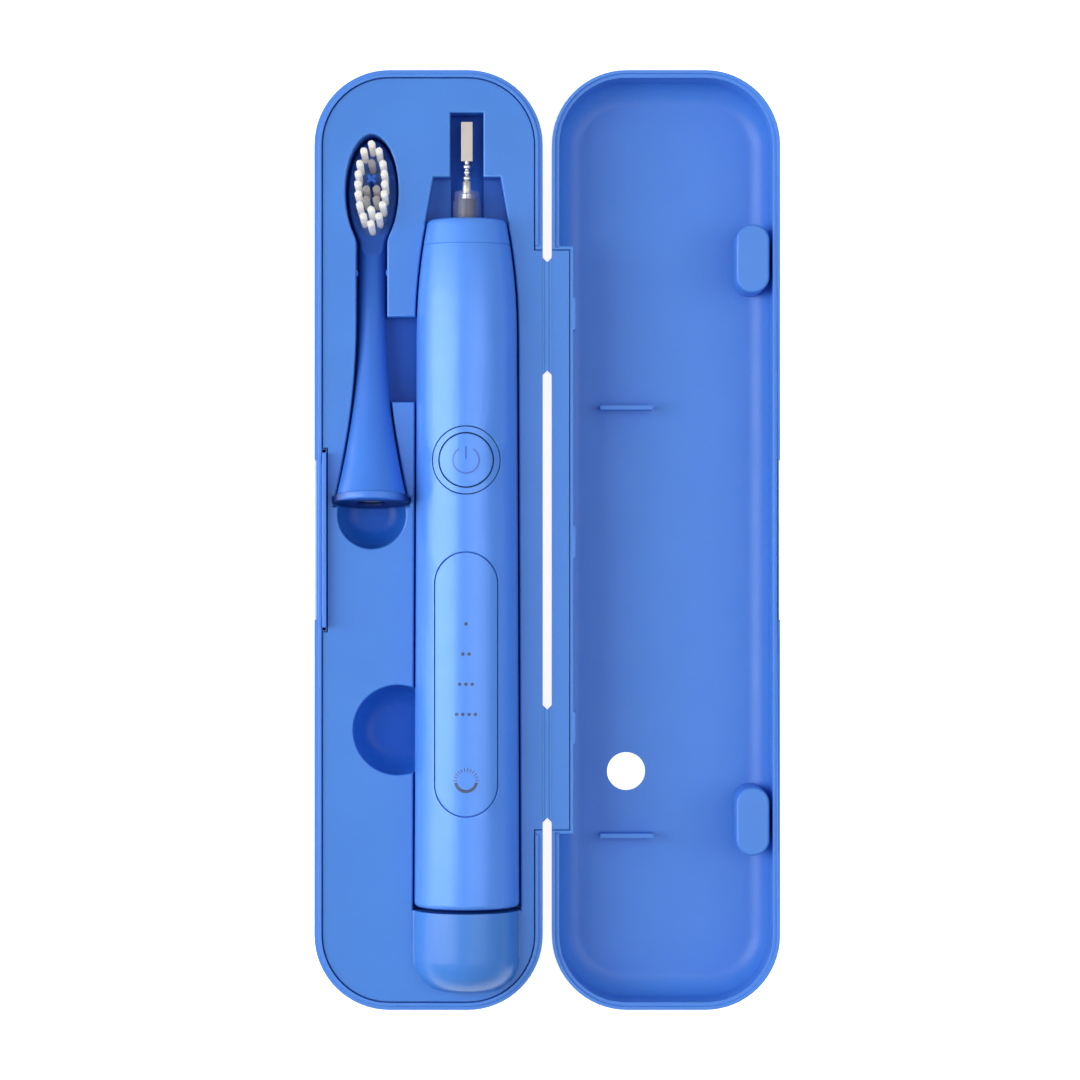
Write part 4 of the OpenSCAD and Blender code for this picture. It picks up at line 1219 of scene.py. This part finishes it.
    def on_paddle(self, edge: Edge) -> bool:
        """Whether an edge is crisp and lies on the outline of the paddle."""
        inverse = self.datum.matrix.inverted()
        for place in (inverse @ vertex.co for vertex in edge.verts):
            along = place.y - self.paddle_middle
            inside = (place.x / (self.oval_half_width + self.plate_margin)) ** 2
            inside += (along / (self.oval_half_length + self.plate_margin)) ** 2
            if along < -self.paddle_reach or inside < 1:
                return False
        return crisp(edge, 40)

    def build(self, shop: Paintshop) -> None:
        """Makes the brush head and sets it on its body."""
        plastic = "head_plastic"
        body = eased("head_body", "head_skin", (0.35, self.on_paddle, 3), degrees=38)
        shop.hand_over(body, "head", plastic, HEAD_BLUE, "head_body")
        ring = eased("head_ring", "head_ring_skin", (0.12, crisp, 2))
        shop.hand_over(ring, "head", plastic, RING_BLUE, "head_ring")
        plate = eased("head_plate", "head_plate_skin")
        shop.hand_over(plate, "head", plastic, PLATE_BLUE, "head_plate")
        white = self.tufts("white_bristles", self.whites(), self.bristle_length)
        shop.hand_over(white, "head", "white_nylon", BRISTLE_WHITE, "white_tufts")
        grey = self.tufts("grey_bristles", self.greys, self.bristle_length - self.grey_drop)
        shop.hand_over(grey, "head", "grey_nylon", BRISTLE_GREY, "grey_tufts")
        shop.hand_over(self.cross(), "head", "head_rubber", CROSS_BLUE, "cross_tuft")


# ---- studio


@dataclass(frozen=True)
class Lamp:
    """A soft lamp that points at the case, its longer side along it, in metres and watts."""

    name: str
    place: Point
    size: Span
    power: float
    shines: bool = True

    def hang(self) -> None:
        """Hangs the lamp; where it doesn't shine, glossy surfaces don't mirror it."""
        light = bpy.data.lights.new(self.name, "AREA")
        light.shape = "RECTANGLE"
        light.size, light.size_y = self.size
        light.energy = self.power
        holder = bpy.data.objects.new(self.name, light)
        holder.location = self.place
        holder.rotation_mode = "QUATERNION"
        holder.rotation_quaternion = Vector(self.place).to_track_quat("Z", "Y")
        holder.visible_glossy = self.shines
        bpy.context.scene.collection.objects.link(holder)


@dataclass
class Studio:
    """White floor and world, three lamps, and the camera, in metres."""

    key: Lamp = Lamp("key", (-0.76, 0.04, 0.56), (0.46, 1.2), 9.0)
    sheen: Lamp = Lamp("sheen", (0.42, 0.02, 1.0), (0.44, 0.9), 2.9)
    fill: Lamp = Lamp("fill", (0.6, 0.1, 0.8), (0.6, 1.0), 0.7, shines=False)
    camera_place: Point = (-0.00176, 0, 0.9695)
    lens: float = 130.6
    world_strength: float = 0.36
    floor_glow: float = 0.9
    floor_drop: float = 0.0004

    def floor(self) -> None:
        """A pale floor that shows white to the camera and keeps the shadow."""
        let_go()
        bpy.ops.mesh.primitive_plane_add(size=6, location=(0, 0, -self.floor_drop))
        plane = bpy.context.object
        plane.name = "floor"
        recipe = Recipe("floor_white")
        recipe.set(Base_Color=(0.86, 0.87, 0.88, 1), Roughness=0.9, Specular_IOR_Level=0.1)
        recipe.set(Emission_Color=(1, 1, 1, 1))
        glow = recipe.add("ShaderNodeMath", operation="MULTIPLY")
        glow.inputs[1].default_value = self.floor_glow
        recipe.wire(seen_by(recipe.tree, "Is Camera Ray", "Is Glossy Ray"), glow.inputs[0])
        recipe.wire(glow.outputs[0], recipe.shader.inputs["Emission Strength"])
        plane.data.materials.append(recipe.material)

    def world(self) -> None:
        """A plain world: white where it is seen, softer where it only lights."""
        world = bpy.data.worlds.new("studio")
        bpy.context.scene.world = world
        world.use_nodes = True
        tree = world.node_tree
        ground = tree.nodes["Background"]
        ground.inputs["Color"].default_value = (1, 1, 1, 1)
        level = tree.nodes.new("ShaderNodeMapRange")
        level.inputs["To Min"].default_value = self.world_strength
        seen = seen_by(tree, "Is Camera Ray", "Is Transmission Ray")
        tree.links.new(seen, level.inputs["Value"])
        tree.links.new(level.outputs["Result"], ground.inputs["Strength"])

    def camera(self) -> None:
        """The camera straight above the open case, as in the photograph."""
        data = bpy.data.cameras.new("camera")
        data.sensor_width = 36
        data.lens = self.lens
        data.clip_start, data.clip_end = 0.05, 20
        holder = bpy.data.objects.new("camera", data)
        holder.location = self.camera_place
        bpy.context.scene.collection.objects.link(holder)
        bpy.context.scene.camera = holder

    def build(self) -> None:
        """Sets up the studio."""
        bpy.context.scene.view_settings.view_transform = "Standard"
        self.floor()
        self.world()
        for lamp in (self.key, self.sheen, self.fill):
            lamp.hang()
        self.camera()


def main() -> None:
    """Builds the studio and every piece."""
    logging.basicConfig(level=logging.INFO, format="%(message)s")
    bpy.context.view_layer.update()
    Studio().build()
    shop = Paintshop()
    shop.dress_nodes()
    CaseShells().build(shop)
    BrushHandle().build(shop)
    BrushHead().build(shop)


if __name__ == "__main__":
    main()
